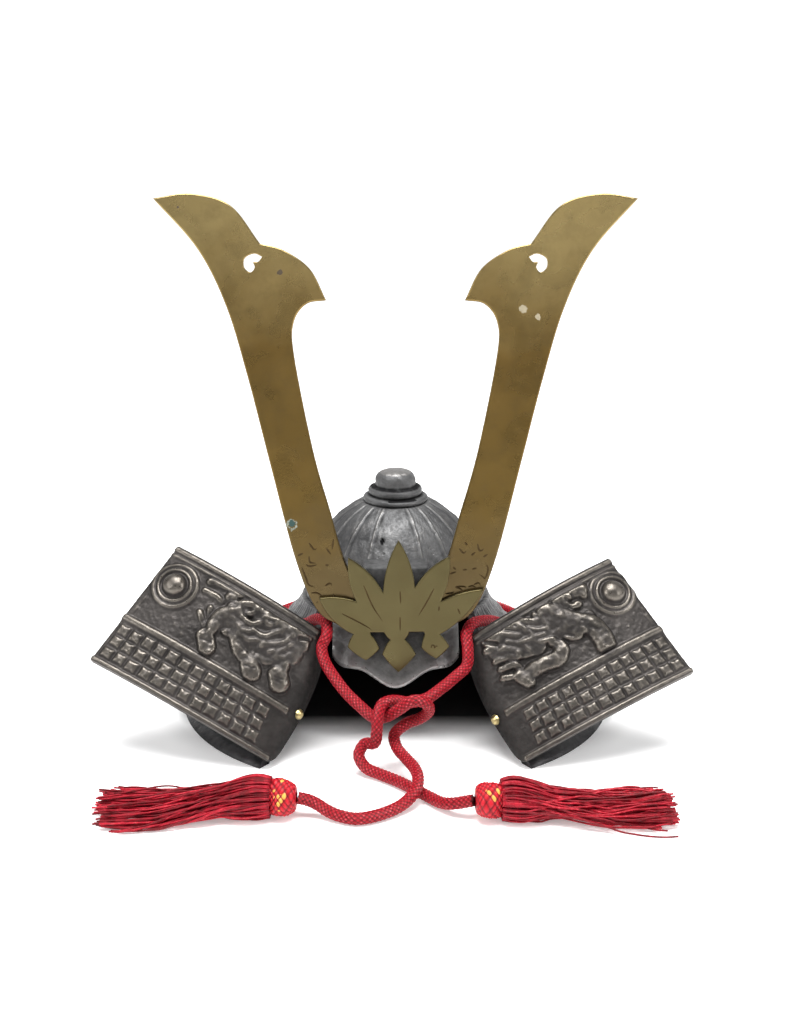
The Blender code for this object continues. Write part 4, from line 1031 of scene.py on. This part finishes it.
def make_wing(side):
    """Casting of one wing: a smooth back, and the relief raised from the middle of the sheet."""
    folds = list(np.linspace(-1.0, 0.0, 9)[:-1]) + list(np.linspace(0.0, 1.0, 29)[:-1])
    shares = np.linspace(0.0, 1.0, 251)
    rows = np.linspace(0.0, 1.0, 171)
    middle, flat = wing_middle(side, folds, shares, rows)
    normal = np.cross(np.gradient(middle, axis=0), np.gradient(middle, axis=1))
    normal /= np.linalg.norm(normal, axis=2, keepdims=True)
    if (normal[:, -1] @ np.array((0.0, -1.0, 0.3))).sum() < 0:
        normal = -normal
    height = wing_relief(side, flat, shares, rows, len(folds))
    height[:, :len(folds)] = 0.0
    height[:, len(folds):] = smooth_table(height[:, len(folds):], 3)
    wear_and_shading = np.clip(relief_wear_and_shade(height, 10, 1.9) + relief_wear_and_shade(height, 90, 0.7), -1.0, 1.0)
    ends = np.clip(1 - np.minimum(rows, 1 - rows)[:, None] / 0.006, 0.0, 1.0)
    outer = np.clip((np.concatenate([np.zeros(len(folds)), shares]) - 0.993) / 0.007, 0.0, 1.0)
    rim = np.maximum(ends, outer[None, :])
    # the fold towards the guard is darker, partly dark patina and partly painted shade; the back is darker
    # too
    inner_side = np.clip(1.15 - np.arange(height.shape[1]) / len(folds), 0.0, 0.4)[None, :] / 0.4
    wear_and_shading = np.maximum(wear_and_shading, rim * 0.5) - 0.5 * inner_side
    front = middle + normal * (WING_T / 2 + (height - 0.35 * rim)[:, :, None] * MM)
    work = two_sided(front, middle - normal * WING_T / 2, wear_and_shading, -0.25)
    local_to_world(work)
    return finish_piece("wing_casting_" + side, work, "wing_" + side, IRON_WING, crease_deg=55)


for which in ("left", "right"):
    make_wing(which)


# neck guard

GUARD_STEPS_MM = (40.0, 31.0, 22.0, 13.0)


def make_neck_guard():
    """Flared guard with shallow steps and upright strands cast in its face."""
    heights = GUARD_TOP_Z * (1 - np.linspace(0.0, 1.0, 97))
    turns = np.linspace(0.0, 1.0, 337)
    radius = guard_radius(heights)
    edge = np.array([edge_azimuth(r) for r in radius])
    azimuth = edge[:, None] + (2 * math.pi - 2 * edge)[:, None] * turns[None, :]
    radial, up = guard_normal(heights)
    step = np.zeros(len(heights))
    for z in GUARD_STEPS_MM:
        step += 0.55 * np.clip(1 - np.abs(heights / MM - z) / 1.1, 0.0, 1.0) ** 0.6
    step += 0.7 * np.clip(1 - np.abs(heights / MM - 1.4) / 1.5, 0.0, 1.0) ** 0.5
    edge_strip = np.clip(1 - np.minimum(turns, 1 - turns) / 0.012, 0.0, 1.0)[None, :]
    rise = step[:, None] * (1 - edge_strip) + 0.15 * edge_strip
    rise[heights < 0.3 * MM] = 0.0
    rise[heights > GUARD_TOP_Z - 0.6 * MM] = 0.0

    def table(r, z):
        return np.stack([r * np.sin(azimuth), -r * np.cos(azimuth), z + np.zeros(azimuth.shape)], axis=2)

    outer = table(radius[:, None] + rise * MM * radial[:, None], heights[:, None])
    outer[:, :, 2] += rise * MM * up[:, None] * (heights[:, None] > 0.3 * MM)
    inner = table((radius - GUARD_WALL / radial)[:, None] + np.zeros(azimuth.shape), heights[:, None])
    # the inner wall is near black: painted shade inside the helmet
    work = two_sided(outer, inner, relief_wear_and_shade(rise, 10, 1.0), -0.75)
    strand = work.verts.layers.float.new("strand")
    uv_layer = work.loops.layers.uv.new("UVMap")
    for vert in work.verts:
        vert[strand] = max(0.0, min(1.0, (vert.co.z / MM - 13.5) / 3.0))
    for face in work.faces:
        for loop in face.loops:
            angle = math.atan2(loop.vert.co.x, -loop.vert.co.y) % (2 * math.pi)
            loop[uv_layer].uv = (angle * 46, loop.vert.co.z / MM * 0.10)
    local_to_world(work)
    finish_piece("neck_guard_casting", work, "neck_guard", IRON_GUARD, crease_deg=50)


make_neck_guard()


# bowl, front block and knob

def bowl_radius(z):
    share = min(1.0, (z - BOWL_BASE_Z) / BOWL_H)
    return BOWL_R * math.sqrt(1 - share * share)


def bowl_top_z():
    return BOWL_BASE_Z + BOWL_H * math.sqrt(1 - (BOWL_TOP_R / BOWL_R) ** 2)


def plate_y(z, behind=0.0):
    return PLATE_BACK_Y + behind + (z - BOWL_BASE_Z) * math.tan(math.radians(LEAN_DEG))


def turned_solid(profile, steps):
    """Spin a closed profile of (radius, height) points about the upright axis."""
    work = bmesh.new()
    verts = [work.verts.new((r, 0.0, z)) for r, z in profile]
    edges = [work.edges.new(pair) for pair in zip(verts, verts[1:])]
    bmesh.ops.spin(work, geom=verts + edges, axis=(0, 0, 1), cent=(0, 0, 0), angle=2 * math.pi,
                   steps=steps, use_merge=True, use_duplicate=False)
    bmesh.ops.remove_doubles(work, verts=work.verts, dist=0.01 * MM)
    bmesh.ops.recalc_face_normals(work, faces=work.faces)
    return work


RIB_SPACING_DEG = 20.0
PIT_AT = (-11.5, 82.0)


def make_bowl():
    """Ribbed dome: narrow upright ridges, each with a groove beside it."""
    top_angle = math.acos(BOWL_TOP_R / BOWL_R)
    profile = [(0.0, bowl_top_z()), (BOWL_TOP_R * 0.5, bowl_top_z())]
    rows = 54
    for row in range(rows + 1):
        angle = top_angle * (1 - row / rows)
        profile.append((BOWL_R * math.cos(angle), BOWL_BASE_Z + BOWL_H * math.sin(angle)))
    wall_r, wall_h = BOWL_R - BOWL_WALL, BOWL_H - BOWL_WALL
    for row in range(19):
        angle = math.pi / 2 * row / 18
        profile.append((wall_r * math.cos(angle), BOWL_BASE_Z + wall_h * math.sin(angle)))
    work = turned_solid(profile, 360)
    layer = work.verts.layers.float.new("wear_and_shading")
    for vert in work.verts:
        r = math.hypot(vert.co.x, vert.co.y)
        # inside the bowl the tone is near black: painted shade
        inside = (r < bowl_radius(vert.co.z) - 1.5 * MM
                  or vert.co.z < BOWL_BASE_Z + 0.01 * MM and r < BOWL_R - MM)
        if inside or r < BOWL_TOP_R:
            vert[layer] = -0.8 if inside else 0.0
            continue
        degrees = math.degrees(math.atan2(vert.co.x, -vert.co.y))
        near = round(degrees / RIB_SPACING_DEG)
        off = (degrees - near * RIB_SPACING_DEG) * r * math.pi / 180 / MM
        if near == 0:
            off = 99.0
        away = 1 if degrees > 0 else -1
        rise_share = (vert.co.z - BOWL_BASE_Z) / BOWL_H
        fade = min(1.0, rise_share / 0.12) * min(1.0, (1.0 - rise_share) / 0.06)
        ridge = 0.55 * math.exp(-(off / 0.45) ** 2)
        groove = -0.22 * math.exp(-((off * away + 1.2) / 0.5) ** 2)
        second = 0.12 * math.exp(-((off * away - 1.6) / 0.5) ** 2)
        lift = (ridge + groove + second) * fade
        wobble = (0.16 * math.sin(degrees * 0.7 + vert.co.z * 900)
                  + 0.12 * math.sin(degrees * 1.9 - vert.co.z * 1500))
        pit_off = math.hypot((degrees - PIT_AT[0]) * r * math.pi / 180 / MM, vert.co.z / MM - PIT_AT[1])
        pit = -0.9 if pit_off < 1.0 else 0.0
        lumps = 0.3 * noise.noise(vert.co * 170) + 0.16 * noise.noise(vert.co * 480)
        out = (lift + wobble * 0.5 + lumps + pit) * MM
        vert.co.x *= 1 + out / r
        vert.co.y *= 1 + out / r
        vert[layer] = max(-1.0, min(1.0, lift * 0.9 + lumps * 0.8 + pit))
    local_to_world(work)
    finish_piece("bowl_casting", work, "bowl", IRON_BOWL, crease_deg=60)


def make_front_block():
    """Block cast on the bowl's front, with worn rounded edges."""
    low = BOWL_BASE_Z + 0.4 * MM
    high = BOWL_BASE_Z + BLOCK_H
    back = 1.3 * BOWL_WALL
    places = {
        (False, False): (plate_y(low, GAP), low), (False, True): (plate_y(high, GAP), high),
        (True, True): (-bowl_radius(high) + back, high), (True, False): (-BOWL_R + back, low),
    }
    work = bmesh.new()
    made = bmesh.ops.create_cube(work, size=2.0)["verts"]
    for vert in made:
        y, z = places[vert.co.y > 0, vert.co.z > 0]
        vert.co = (math.copysign(BLOCK_W / 2, vert.co.x), y, z)
    rim = [e for e in work.edges if all(v.co.y < -38 * MM for v in e.verts)]
    bmesh.ops.bevel(work, geom=rim, offset=0.9 * MM, segments=3, profile=0.5, affect="EDGES", material=-1)
    bmesh.ops.subdivide_edges(work, edges=work.edges, cuts=3, use_grid_fill=True)
    layer = work.verts.layers.float.new("wear_and_shading")
    for vert in work.verts:
        vert[layer] = -0.28
    bmesh.ops.recalc_face_normals(work, faces=work.faces)
    local_to_world(work)
    finish_piece("front_block_casting", work, "bowl", IRON_BOWL, crease_deg=50)


def make_knob():
    """Stepped knob with soft worn steps."""
    base = bowl_top_z() + GAP
    collar = base + FLANGE_H
    dome = collar + COLLAR_H
    profile = [(0.0, dome + KNOB_H)]
    for index in range(1, 15):
        a = math.radians(90 - 90 * index / 14)
        profile.append((KNOB_R * math.cos(a) ** 0.8, dome + KNOB_H * (0.35 + 0.65 * math.sin(a))))
    for radius, level, steps in (
            (KNOB_R, dome, ((1.0, 1.2), (1.01, 0.3), (1.08, -0.1))),
            (COLLAR_R, dome, ((0.90, -0.3), (0.96, -0.9), (1.0, -1.8), (0.99, -2.7))),
            (COLLAR_R, collar, ((0.95, 0.5), (0.97, 0.05))),
            (FLANGE_R, collar, ((0.93, -0.2), (0.98, -0.7), (1.0, -1.4))),
            (FLANGE_R, base, ((0.99, 0.5), (0.96, 0.0), (0.0, 0.0)))):
        profile += [(radius * share, level + up * MM) for share, up in steps]
    work = turned_solid(profile, 120)
    layer = work.verts.layers.float.new("wear_and_shading")
    for vert in work.verts:
        r = math.hypot(vert.co.x, vert.co.y)
        if vert.co.z > dome + KNOB_H * 0.8:
            vert[layer] = 0.8
        elif abs(vert.co.z - dome) < 0.6 * MM or abs(vert.co.z - collar) < 0.5 * MM and r < COLLAR_R:
            vert[layer] = -0.6
        turn = math.atan2(vert.co.x, -vert.co.y)
        lump = 0.18 * math.sin(3 * turn + 1) + 0.12 * math.sin(7 * turn + vert.co.z * 900)
        if r > 2 * MM and vert.co.z > base + 0.2 * MM:
            vert.co.x *= 1 + lump * MM / r
            vert.co.y *= 1 + lump * MM / r
        if abs(vert.co.z - collar) < 0.4 * MM and r > COLLAR_R * 0.9 and -0.25 < turn < 0.75:
            vert.co.x *= 0.955
            vert.co.y *= 0.955
            vert[layer] = -1.0
    local_to_world(work)
    finish_piece("crown_knob_casting", work, "crown_knob", IRON_BOWL)


make_bowl()
make_front_block()
make_knob()


# peak

def make_peak():
    """Steep visor with a thick rolled lip, pale along the roll, worn and partly a painted highlight, with
    painted shade on its underside.
    """
    sections, around = 110, 34
    top_r = BOWL_R - BOWL_WALL / 2
    half = PEAK_WALL / 2
    table = np.zeros((sections + 1, around + 1, 3))
    wear_and_shading = np.zeros((sections + 1, around + 1))
    for index in range(sections + 1):
        across = -1 + 2 * index / sections
        x = PEAK_HALF_W * across
        bulge = 0.5 + 0.5 * math.cos(min(1.0, abs(across) / 0.62) * math.pi)
        corner = max(0.0, (abs(across) - 0.8) / 0.2)
        drop = PEAK_DROP + PEAK_BULGE * bulge - 3.5 * MM * corner * corner
        reach = PEAK_REACH + PEAK_BULGE * 0.3 * bulge
        top = Vector((x, -math.sqrt(top_r ** 2 - x * x), GUARD_TOP_Z))
        lip = Vector((x, -math.sqrt((top_r + reach) ** 2 - x * x), GUARD_TOP_Z - drop))
        fall = Vector((0.0, lip.y - top.y, lip.z - top.z)).normalized()
        out = Vector((0.0, fall.z, -fall.y))
        middle = (top + lip) / 2 + out * 0.8 * MM
        level = Vector((0.0, half / abs(fall.z), 0.0))
        ring = []

        def sheet(u):
            return top * (1 - u) ** 2 + middle * 2 * u * (1 - u) + lip * u * u

        for k in range(9):
            u = k / 9
            ring.append((sheet(u) + (-level if k == 0 else out * half), 0.1 + 0.4 * max(0.0, u - 0.6)))
        for k in range(13):
            a = math.radians(15 + 150 * k / 12)
            roll = (out * math.cos(a) + fall * math.sin(a)) * LIP_R
            ring.append((lip + roll, 0.3 + 0.35 * math.sin(a) ** 0.5))
        # the underside goes near black: painted shade
        for k in range(9, -1, -1):
            ring.append((sheet(k / 9 * 0.94) + (level if k == 0 else -out * half), -0.8))
        while len(ring) < around:
            ring.append(ring[-1])
        ring.append(ring[0])
        for k, (place, wear_and_light) in enumerate(ring):
            table[index, k] = place
            wear_and_shading[index, k] = wear_and_light
    work = bmesh.new()
    grid_on(work, table, wear_and_shading)
    close_up(work, 60, 0.01 * MM)
    local_to_world(work)
    finish_piece("peak_casting", work, "peak", IRON_PEAK, crease_deg=60)


make_peak()


# horns and crest

HORN_OUTER = [(13.0, -0.5), (24.5, 2.0), (33.6, 9.2), (42.0, 31.0), (52.0, 71.5), (60.0, 104.6),
              (68.2, 133.5), (79.3, 156.6), (96.8, 176.8)]
HORN_TOP = [(96.8, 176.8), (81.5, 178.6), (66.0, 174.0), (54.3, 158.9)]
HORN_LOBE = [(54.3, 158.9), (45.0, 156.4), (34.5, 149.0), (28.0, 136.4)]
HORN_INNER = [(28.0, 136.4), (36.0, 134.9), (41.2, 127.5), (41.2, 114.0), (34.0, 75.9), (27.1, 50.3),
              (20.6, 28.0), (11.0, 10.0)]
HORN_FOOT = [(11.0, 10.0), (13.0, -0.5)]
HORN_PIERCING = [(53.6, 153.8), (56.8, 155.0), (60.6, 153.2), (60.9, 149.6), (58.4, 147.6), (56.6, 149.6),
                 (57.2, 151.6), (55.2, 151.8)]
CREST = [
    (1.2, -18.1, 0.3), (-5.6, -10.3, 0.4), (-2.2, -4.0, 0.3), (-4.8, -0.8, 0.0), (-10.4, -0.8, -0.3),
    (-9.4, -2.8, 0.2), (-6.7, -7.8, 0.4), (-12.4, -12.9, 0.4), (-20.0, -7.2, 0.4), (-17.6, -1.6, 0.0),
    (-20.2, -0.4, 1.6), (-31.8, 13.8, 1.0), (-16.4, 12.5, 1.3), (-19.6, 31.0, 1.6), (-5.2, 16.3, 1.4),
    (1.2, 38.3, 1.4), (8.1, 18.4, 1.6), (22.5, 31.6, 1.3), (18.9, 12.5, 1.0), (36.7, 17.6, 1.6),
    (20.8, -0.4, 0.0), (18.6, -1.6, 0.2), (22.6, -6.8, 0.4), (17.0, -12.2, 0.4), (10.8, -7.4, 0.2),
    (12.0, -2.2, -0.3), (11.6, -0.6, 0.0), (5.8, -0.6, 0.3), (3.9, -3.8, 0.3), (8.6, -10.3, 0.3),
]
# chased marks on the plates: across and up on the leaning plane in millimetres
HORN_MARKS = {
    "left": [
        [(-35.9, 36.8), (-33.8, 34.0), (-32.3, 34.9)], [(-40.6, 31.4), (-38.0, 32.5)],
        [(-28.7, 34.6), (-26.6, 31.6)], [(-25.7, 38.5), (-26.4, 33.4)],
        [(-37.2, 27.7), (-35.6, 26.9), (-32.2, 27.7)], [(-35.9, 31.2), (-35.5, 28.6), (-32.6, 28.2)],
        [(-29.2, 27.3), (-27.5, 27.5)], [(-39.0, 26.4), (-37.3, 22.1), (-36.1, 19.0), (-32.7, 17.7)],
        [(-29.3, 18.6), (-27.1, 19.7), (-26.5, 18.2)], [(-35.2, 15.5), (-32.7, 15.5), (-30.1, 14.0)],
        [(-26.1, 15.1), (-25.0, 13.8), (-22.1, 13.4)], [(-32.9, 11.6), (-32.5, 11.5)],
        [(-18.2, 12.7), (-17.0, 11.6)],
    ],
    "right": [
        [(23.9, 26.6), (25.3, 25.3)], [(28.0, 25.3), (30.0, 25.5)], [(31.9, 25.6), (34.1, 26.3)],
        [(22.6, 23.7), (25.5, 24.7)],
        [(37.9, 27.6), (38.5, 25.3), (37.3, 21.7), (36.3, 22.4), (34.1, 24.0)],
        [(24.9, 18.1), (27.1, 17.2), (28.4, 15.5)], [(25.2, 18.3), (29.1, 18.1), (29.4, 16.8)],
        [(30.3, 18.1), (32.2, 18.5), (33.8, 17.5)], [(32.6, 19.1), (34.8, 19.8), (35.4, 18.1)],
        [(20.8, 15.2), (23.3, 15.5), (24.9, 16.5)], [(19.2, 11.6), (20.2, 13.2)],
        [(26.4, 34.4), (28.3, 32.5), (29.6, 33.8)], [(31.5, 31.5), (33.4, 33.1)],
        [(34.0, 36.4), (35.0, 33.4), (37.2, 34.7)], [(28.6, 37.0), (30.2, 35.7)],
        [(36.6, 30.8), (38.5, 32.1)],
    ],
}
CREST_MARKS = [
    [(1.9, 16.8), (2.2, 11.0)], [(1.9, 5.8), (2.0, -0.7)], [(-13.2, 19.3), (-9.6, 10.7), (-4.9, 3.3)],
    [(-22.2, 7.3), (-12.0, 1.8), (-9.1, -0.7)], [(16.0, 18.0), (12.5, 11.3), (9.2, 5.8)],
    [(25.9, 9.5), (27.1, 6.7)],
    [(14.9, -7.5), (15.2, -6.2), (16.1, -6.4), (16.4, -7.5), (17.3, -6.4), (17.9, -7.2)],
    [(18.2, 10.4), (17.9, 8.2)],
]


def bent_outline(stretches, steps):
    """Smooth curves through each stretch's points, meeting in corners; closes on itself."""
    return [(p.x * MM, p.y * MM) for stretch in stretches for p in curve_through(stretch, steps)]


def settled(thing):
    """A bmesh of an object with its modifiers carried out; the object itself is removed."""
    graph = bpy.context.evaluated_depsgraph_get()
    graph.update()
    mesh = bpy.data.meshes.new_from_object(thing.evaluated_get(graph))
    work = bmesh.new()
    work.from_mesh(mesh)
    bpy.data.meshes.remove(mesh)
    bpy.data.objects.remove(thing, do_unlink=True)
    return work


def stepped_in(loop, distance):
    """A closed outline moved to its left by a distance, with blunted corners."""
    points = [Vector(p) for p in loop]
    moved = []
    for before, here, after in zip(points[-1:] + points[:-1], points, points[1:] + points[:1]):
        a, b = (here - before).normalized(), (after - here).normalized()
        left_a, left_b = Vector((-a.y, a.x)), Vector((-b.y, b.x))
        middle = (left_a + left_b).normalized()
        moved.append(here + middle * distance / max(0.5, middle.dot(left_a)))
    return moved


def turned_left(loop, leftward):
    """The loop in the order that keeps its inside, or its outside, on the left."""
    area = sum(a[0] * b[1] - b[0] * a[1] for a, b in zip(loop, loop[1:] + loop[:1]))
    return loop if (area > 0) == leftward else loop[::-1]


def plate_bmesh(loops, thickness, rounds):
    """A flat plate in the X-Z plane about y = 0: its edges rounded over, its faces filled."""
    work = bmesh.new()
    half = thickness / 2
    for index, (loop, edge_round) in enumerate(zip(loops, rounds)):
        loop = turned_left(loop, index == 0)
        levels = [(edge_round + 0.25 * MM, half)]
        for degrees in (90, 60, 30, 0):
            a = math.radians(degrees)
            levels.append((edge_round * (1 - math.cos(a)), half - edge_round * (1 - math.sin(a))))
        levels = [(inset, -depth) for inset, depth in levels] + levels[::-1]
        table = np.zeros((len(levels), len(loop) + 1, 3))
        for row, (inset, y) in enumerate(levels):
            ring = stepped_in(loop, inset)
            for column, place in enumerate(ring + ring[:1]):
                table[row, column] = (place.x, y, place.y)
        grid_on(work, table)
    bmesh.ops.remove_doubles(work, verts=work.verts, dist=0.0005 * MM)
    for side in (-1, 1):
        rim = [e for e in work.edges if e.is_boundary and e.verts[0].co.y * side > 0]
        bmesh.ops.triangle_fill(work, edges=rim, use_beauty=True, normal=(0.0, side, 0.0))
    bmesh.ops.recalc_face_normals(work, faces=work.faces)
    return work


def lean_matrix(forward):
    """From the plates' own flat frame to the world, a distance in front of the horns' backs."""
    stand = Matrix.Translation((0.0, PLATE_BACK_Y + AXIS_Y, BOWL_BASE_Z))
    return stand @ Matrix.Rotation(math.radians(-LEAN_DEG), 4, "X") @ Matrix.Translation((0.0, -forward, 0.0))


def groove_cutter(name, marks, face_y, radius, sink):
    """Tapered bars that cut chased lines into a plate's face."""
    curve = bpy.data.curves.new(name, "CURVE")
    curve.dimensions = "3D"
    curve.bevel_depth = radius
    curve.bevel_resolution = 1
    curve.use_fill_caps = True
    for mark in marks:
        if len(mark) > 2:
            route = smooth_route([Vector((x, z, 0.0)) for x, z in mark], 0.7)
        else:
            a, b = Vector((*mark[0], 0.0)), Vector((*mark[1], 0.0))
            route = [a.lerp(b, k / 4) for k in range(5)]
        spline = curve.splines.new("POLY")
        spline.points.add(len(route) - 1)
        for index, (point, place) in enumerate(zip(spline.points, route)):
            u = index / (len(route) - 1)
            point.co = (place.x * MM, face_y - radius + sink, place.y * MM, 1.0)
            point.radius = 0.35 + 0.65 * math.sin(math.pi * min(1.0, 0.15 + 0.85 * u)) ** 0.7
    holder = bpy.data.objects.new(name, curve)
    bpy.context.scene.collection.objects.link(holder)
    work = settled(holder)
    bmesh.ops.remove_doubles(work, verts=work.verts, dist=0.002 * MM)
    bmesh.ops.recalc_face_normals(work, faces=work.faces)
    return work


def chased_plate(name, loops, thickness, rounds, forward, marks, radius, sink, material, node):
    """A brass plate with rounded edges and chased lines, leaning on the bowl's block."""
    blank = new_object(name + "_blank", plate_bmesh(loops, thickness, rounds), material, BRASS_CHASED)
    bars = groove_cutter(name + "_marks", marks, -thickness / 2, radius * MM, sink * MM)
    for face in bars.faces:
        face.material_index = 1
    cutter = new_object(name + "_cutter", bars, material, BRASS_CHASED)
    cut = blank.modifiers.new("Chasing", "BOOLEAN")
    cut.operation = "DIFFERENCE"
    cut.solver = "EXACT"
    cut.use_self = True
    cut.object = cutter
    work = settled(blank)
    bpy.data.objects.remove(cutter, do_unlink=True)
    for edge in work.edges:
        kinds = {face.material_index for face in edge.link_faces}
        edge.smooth = len(kinds) == 1 and edge.calc_face_angle(0.0) < math.radians(38)
    bmesh.ops.transform(work, matrix=lean_matrix(forward + thickness / 2), verts=work.verts)
    finish_piece(name, work, node, material, BRASS_CHASED)


def make_horns():
    outline = bent_outline([HORN_OUTER, HORN_TOP, HORN_LOBE, HORN_INNER, HORN_FOOT], 8)
    hole = bent_outline([HORN_PIERCING + HORN_PIERCING[:1]], 4)
    for side in ("left", "right"):
        sign = -1 if side == "left" else 1
        loops = [[(sign * x, z) for x, z in loop] for loop in (outline, hole)]
        chased_plate("horn_plate_" + side, loops, HORN_T, (0.6 * MM, 0.35 * MM), 0.0,
                     HORN_MARKS[side], 0.5, 0.26, BRASS_HORN, "horn_" + side)


def make_crest():
    outline = []
    for (x, z, swell), (x2, z2, _) in zip(CREST, CREST[1:] + CREST[:1]):
        length = math.hypot(x2 - x, z2 - z)
        side = (-(z2 - z) / length, (x2 - x) / length)
        steps = 10 if swell else 1
        for step in range(steps):
            u = step / steps
            bow = swell * 4 * u * (1 - u)
            outline.append(((x + (x2 - x) * u + side[0] * bow) * MM, (z + (z2 - z) * u + side[1] * bow) * MM))
    chased_plate("crest_plate", [outline], CREST_T, (0.45 * MM,), HORN_T + GAP, CREST_MARKS, 0.36, 0.2,
                 BRASS_CREST, "crest")


make_horns()
make_crest()

for node in ("rivet_left", "rivet_right"):
    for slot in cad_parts[node].material_slots:
        slot.material = BRASS_RIVET


# floor and light

def make_stage():
    """White paper that rises behind, with a painted shadow where the helmet stands on it; away from the
    helmet it glows.
    """
    material, n, shader = new_material("white_paper")
    away = n.add("ShaderNodeVectorMath", operation="LENGTH")
    n.link(n.place(), away.inputs[0])
    split = n.add("ShaderNodeSeparateXYZ")
    n.link(n.place(), split.inputs[0])
    reach = away.outputs["Value"]

    def patch(front, full, rim, inner):
        return n.math("MULTIPLY", n.ramp(split.outputs["Y"], front, full), n.ramp(reach, rim, inner))

    # painted contact shadow: the paper is near black under the helmet
    painted_contact_shadow = patch(-0.044, -0.032, 0.103, 0.094)
    near = patch(-0.085, -0.045, 0.112, 0.100)
    glow = n.math("MULTIPLY", n.ramp(reach, 0.12, 0.8, 0.5, 1.0), n.math("SUBTRACT", 1.0, near))
    n.fill(shader, Base_Color=n.mix(painted_contact_shadow, (0.94, 0.94, 0.94), (0.02, 0.02, 0.021)), Roughness=0.9,
           Emission_Color=n.mix(glow, (0.0, 0.0, 0.0), (1.0, 1.0, 1.0)), Emission_Strength=0.6)
    work = bmesh.new()
    bmesh.ops.create_grid(work, x_segments=1, y_segments=1, size=3.0)
    back = [e for e in work.edges if all(v.co.y > 2.9 for v in e.verts)]
    grown = bmesh.ops.extrude_edge_only(work, edges=back)["geom"]
    grown = [g for g in grown if isinstance(g, bmesh.types.BMVert)]
    bmesh.ops.translate(work, verts=grown, vec=(0, 0.6, 2.4))
    bmesh.ops.bevel(work, geom=back, offset=0.8, segments=12, profile=0.5, affect="EDGES", material=-1)
    new_object("studio_paper", work, material)


# name, place, what it points at, size in metres, power in watts
SOFTBOXES = [
    ("overhead_softbox", (0.0, -0.1, 1.25), (0.0, 0.0, 0.05), (0.9, 0.6), 25.0),
    ("left_softbox", (-1.1, -0.6, 0.7), (0.0, 0.0, 0.08), (0.5, 0.7), 7.0),
    ("right_softbox", (1.1, -0.5, 0.6), (0.0, 0.0, 0.08), (0.4, 0.6), 5.5),
    ("front_fill", (0.1, -1.5, 0.55), (0.0, 0.0, 0.08), (0.9, 0.5), 1.2),
]


def light_studio():
    world = bpy.data.worlds.new("studio")
    world.use_nodes = True
    background = world.node_tree.nodes["Background"]
    background.inputs["Color"].default_value = (1.0, 1.0, 1.0, 1.0)
    background.inputs["Strength"].default_value = 0.24
    bpy.context.scene.world = world
    for name, place, target, size, power in SOFTBOXES:
        data = bpy.data.lights.new(name, "AREA")
        data.shape = "RECTANGLE"
        data.size, data.size_y = size
        data.energy = power
        lamp = bpy.data.objects.new(name, data)
        lamp.location = place
        lamp.rotation_euler = (Vector(target) - Vector(place)).to_track_quat("-Z", "Y").to_euler()
        bpy.context.scene.collection.objects.link(lamp)


make_stage()
light_studio()
bpy.context.scene.view_settings.view_transform = "Standard"
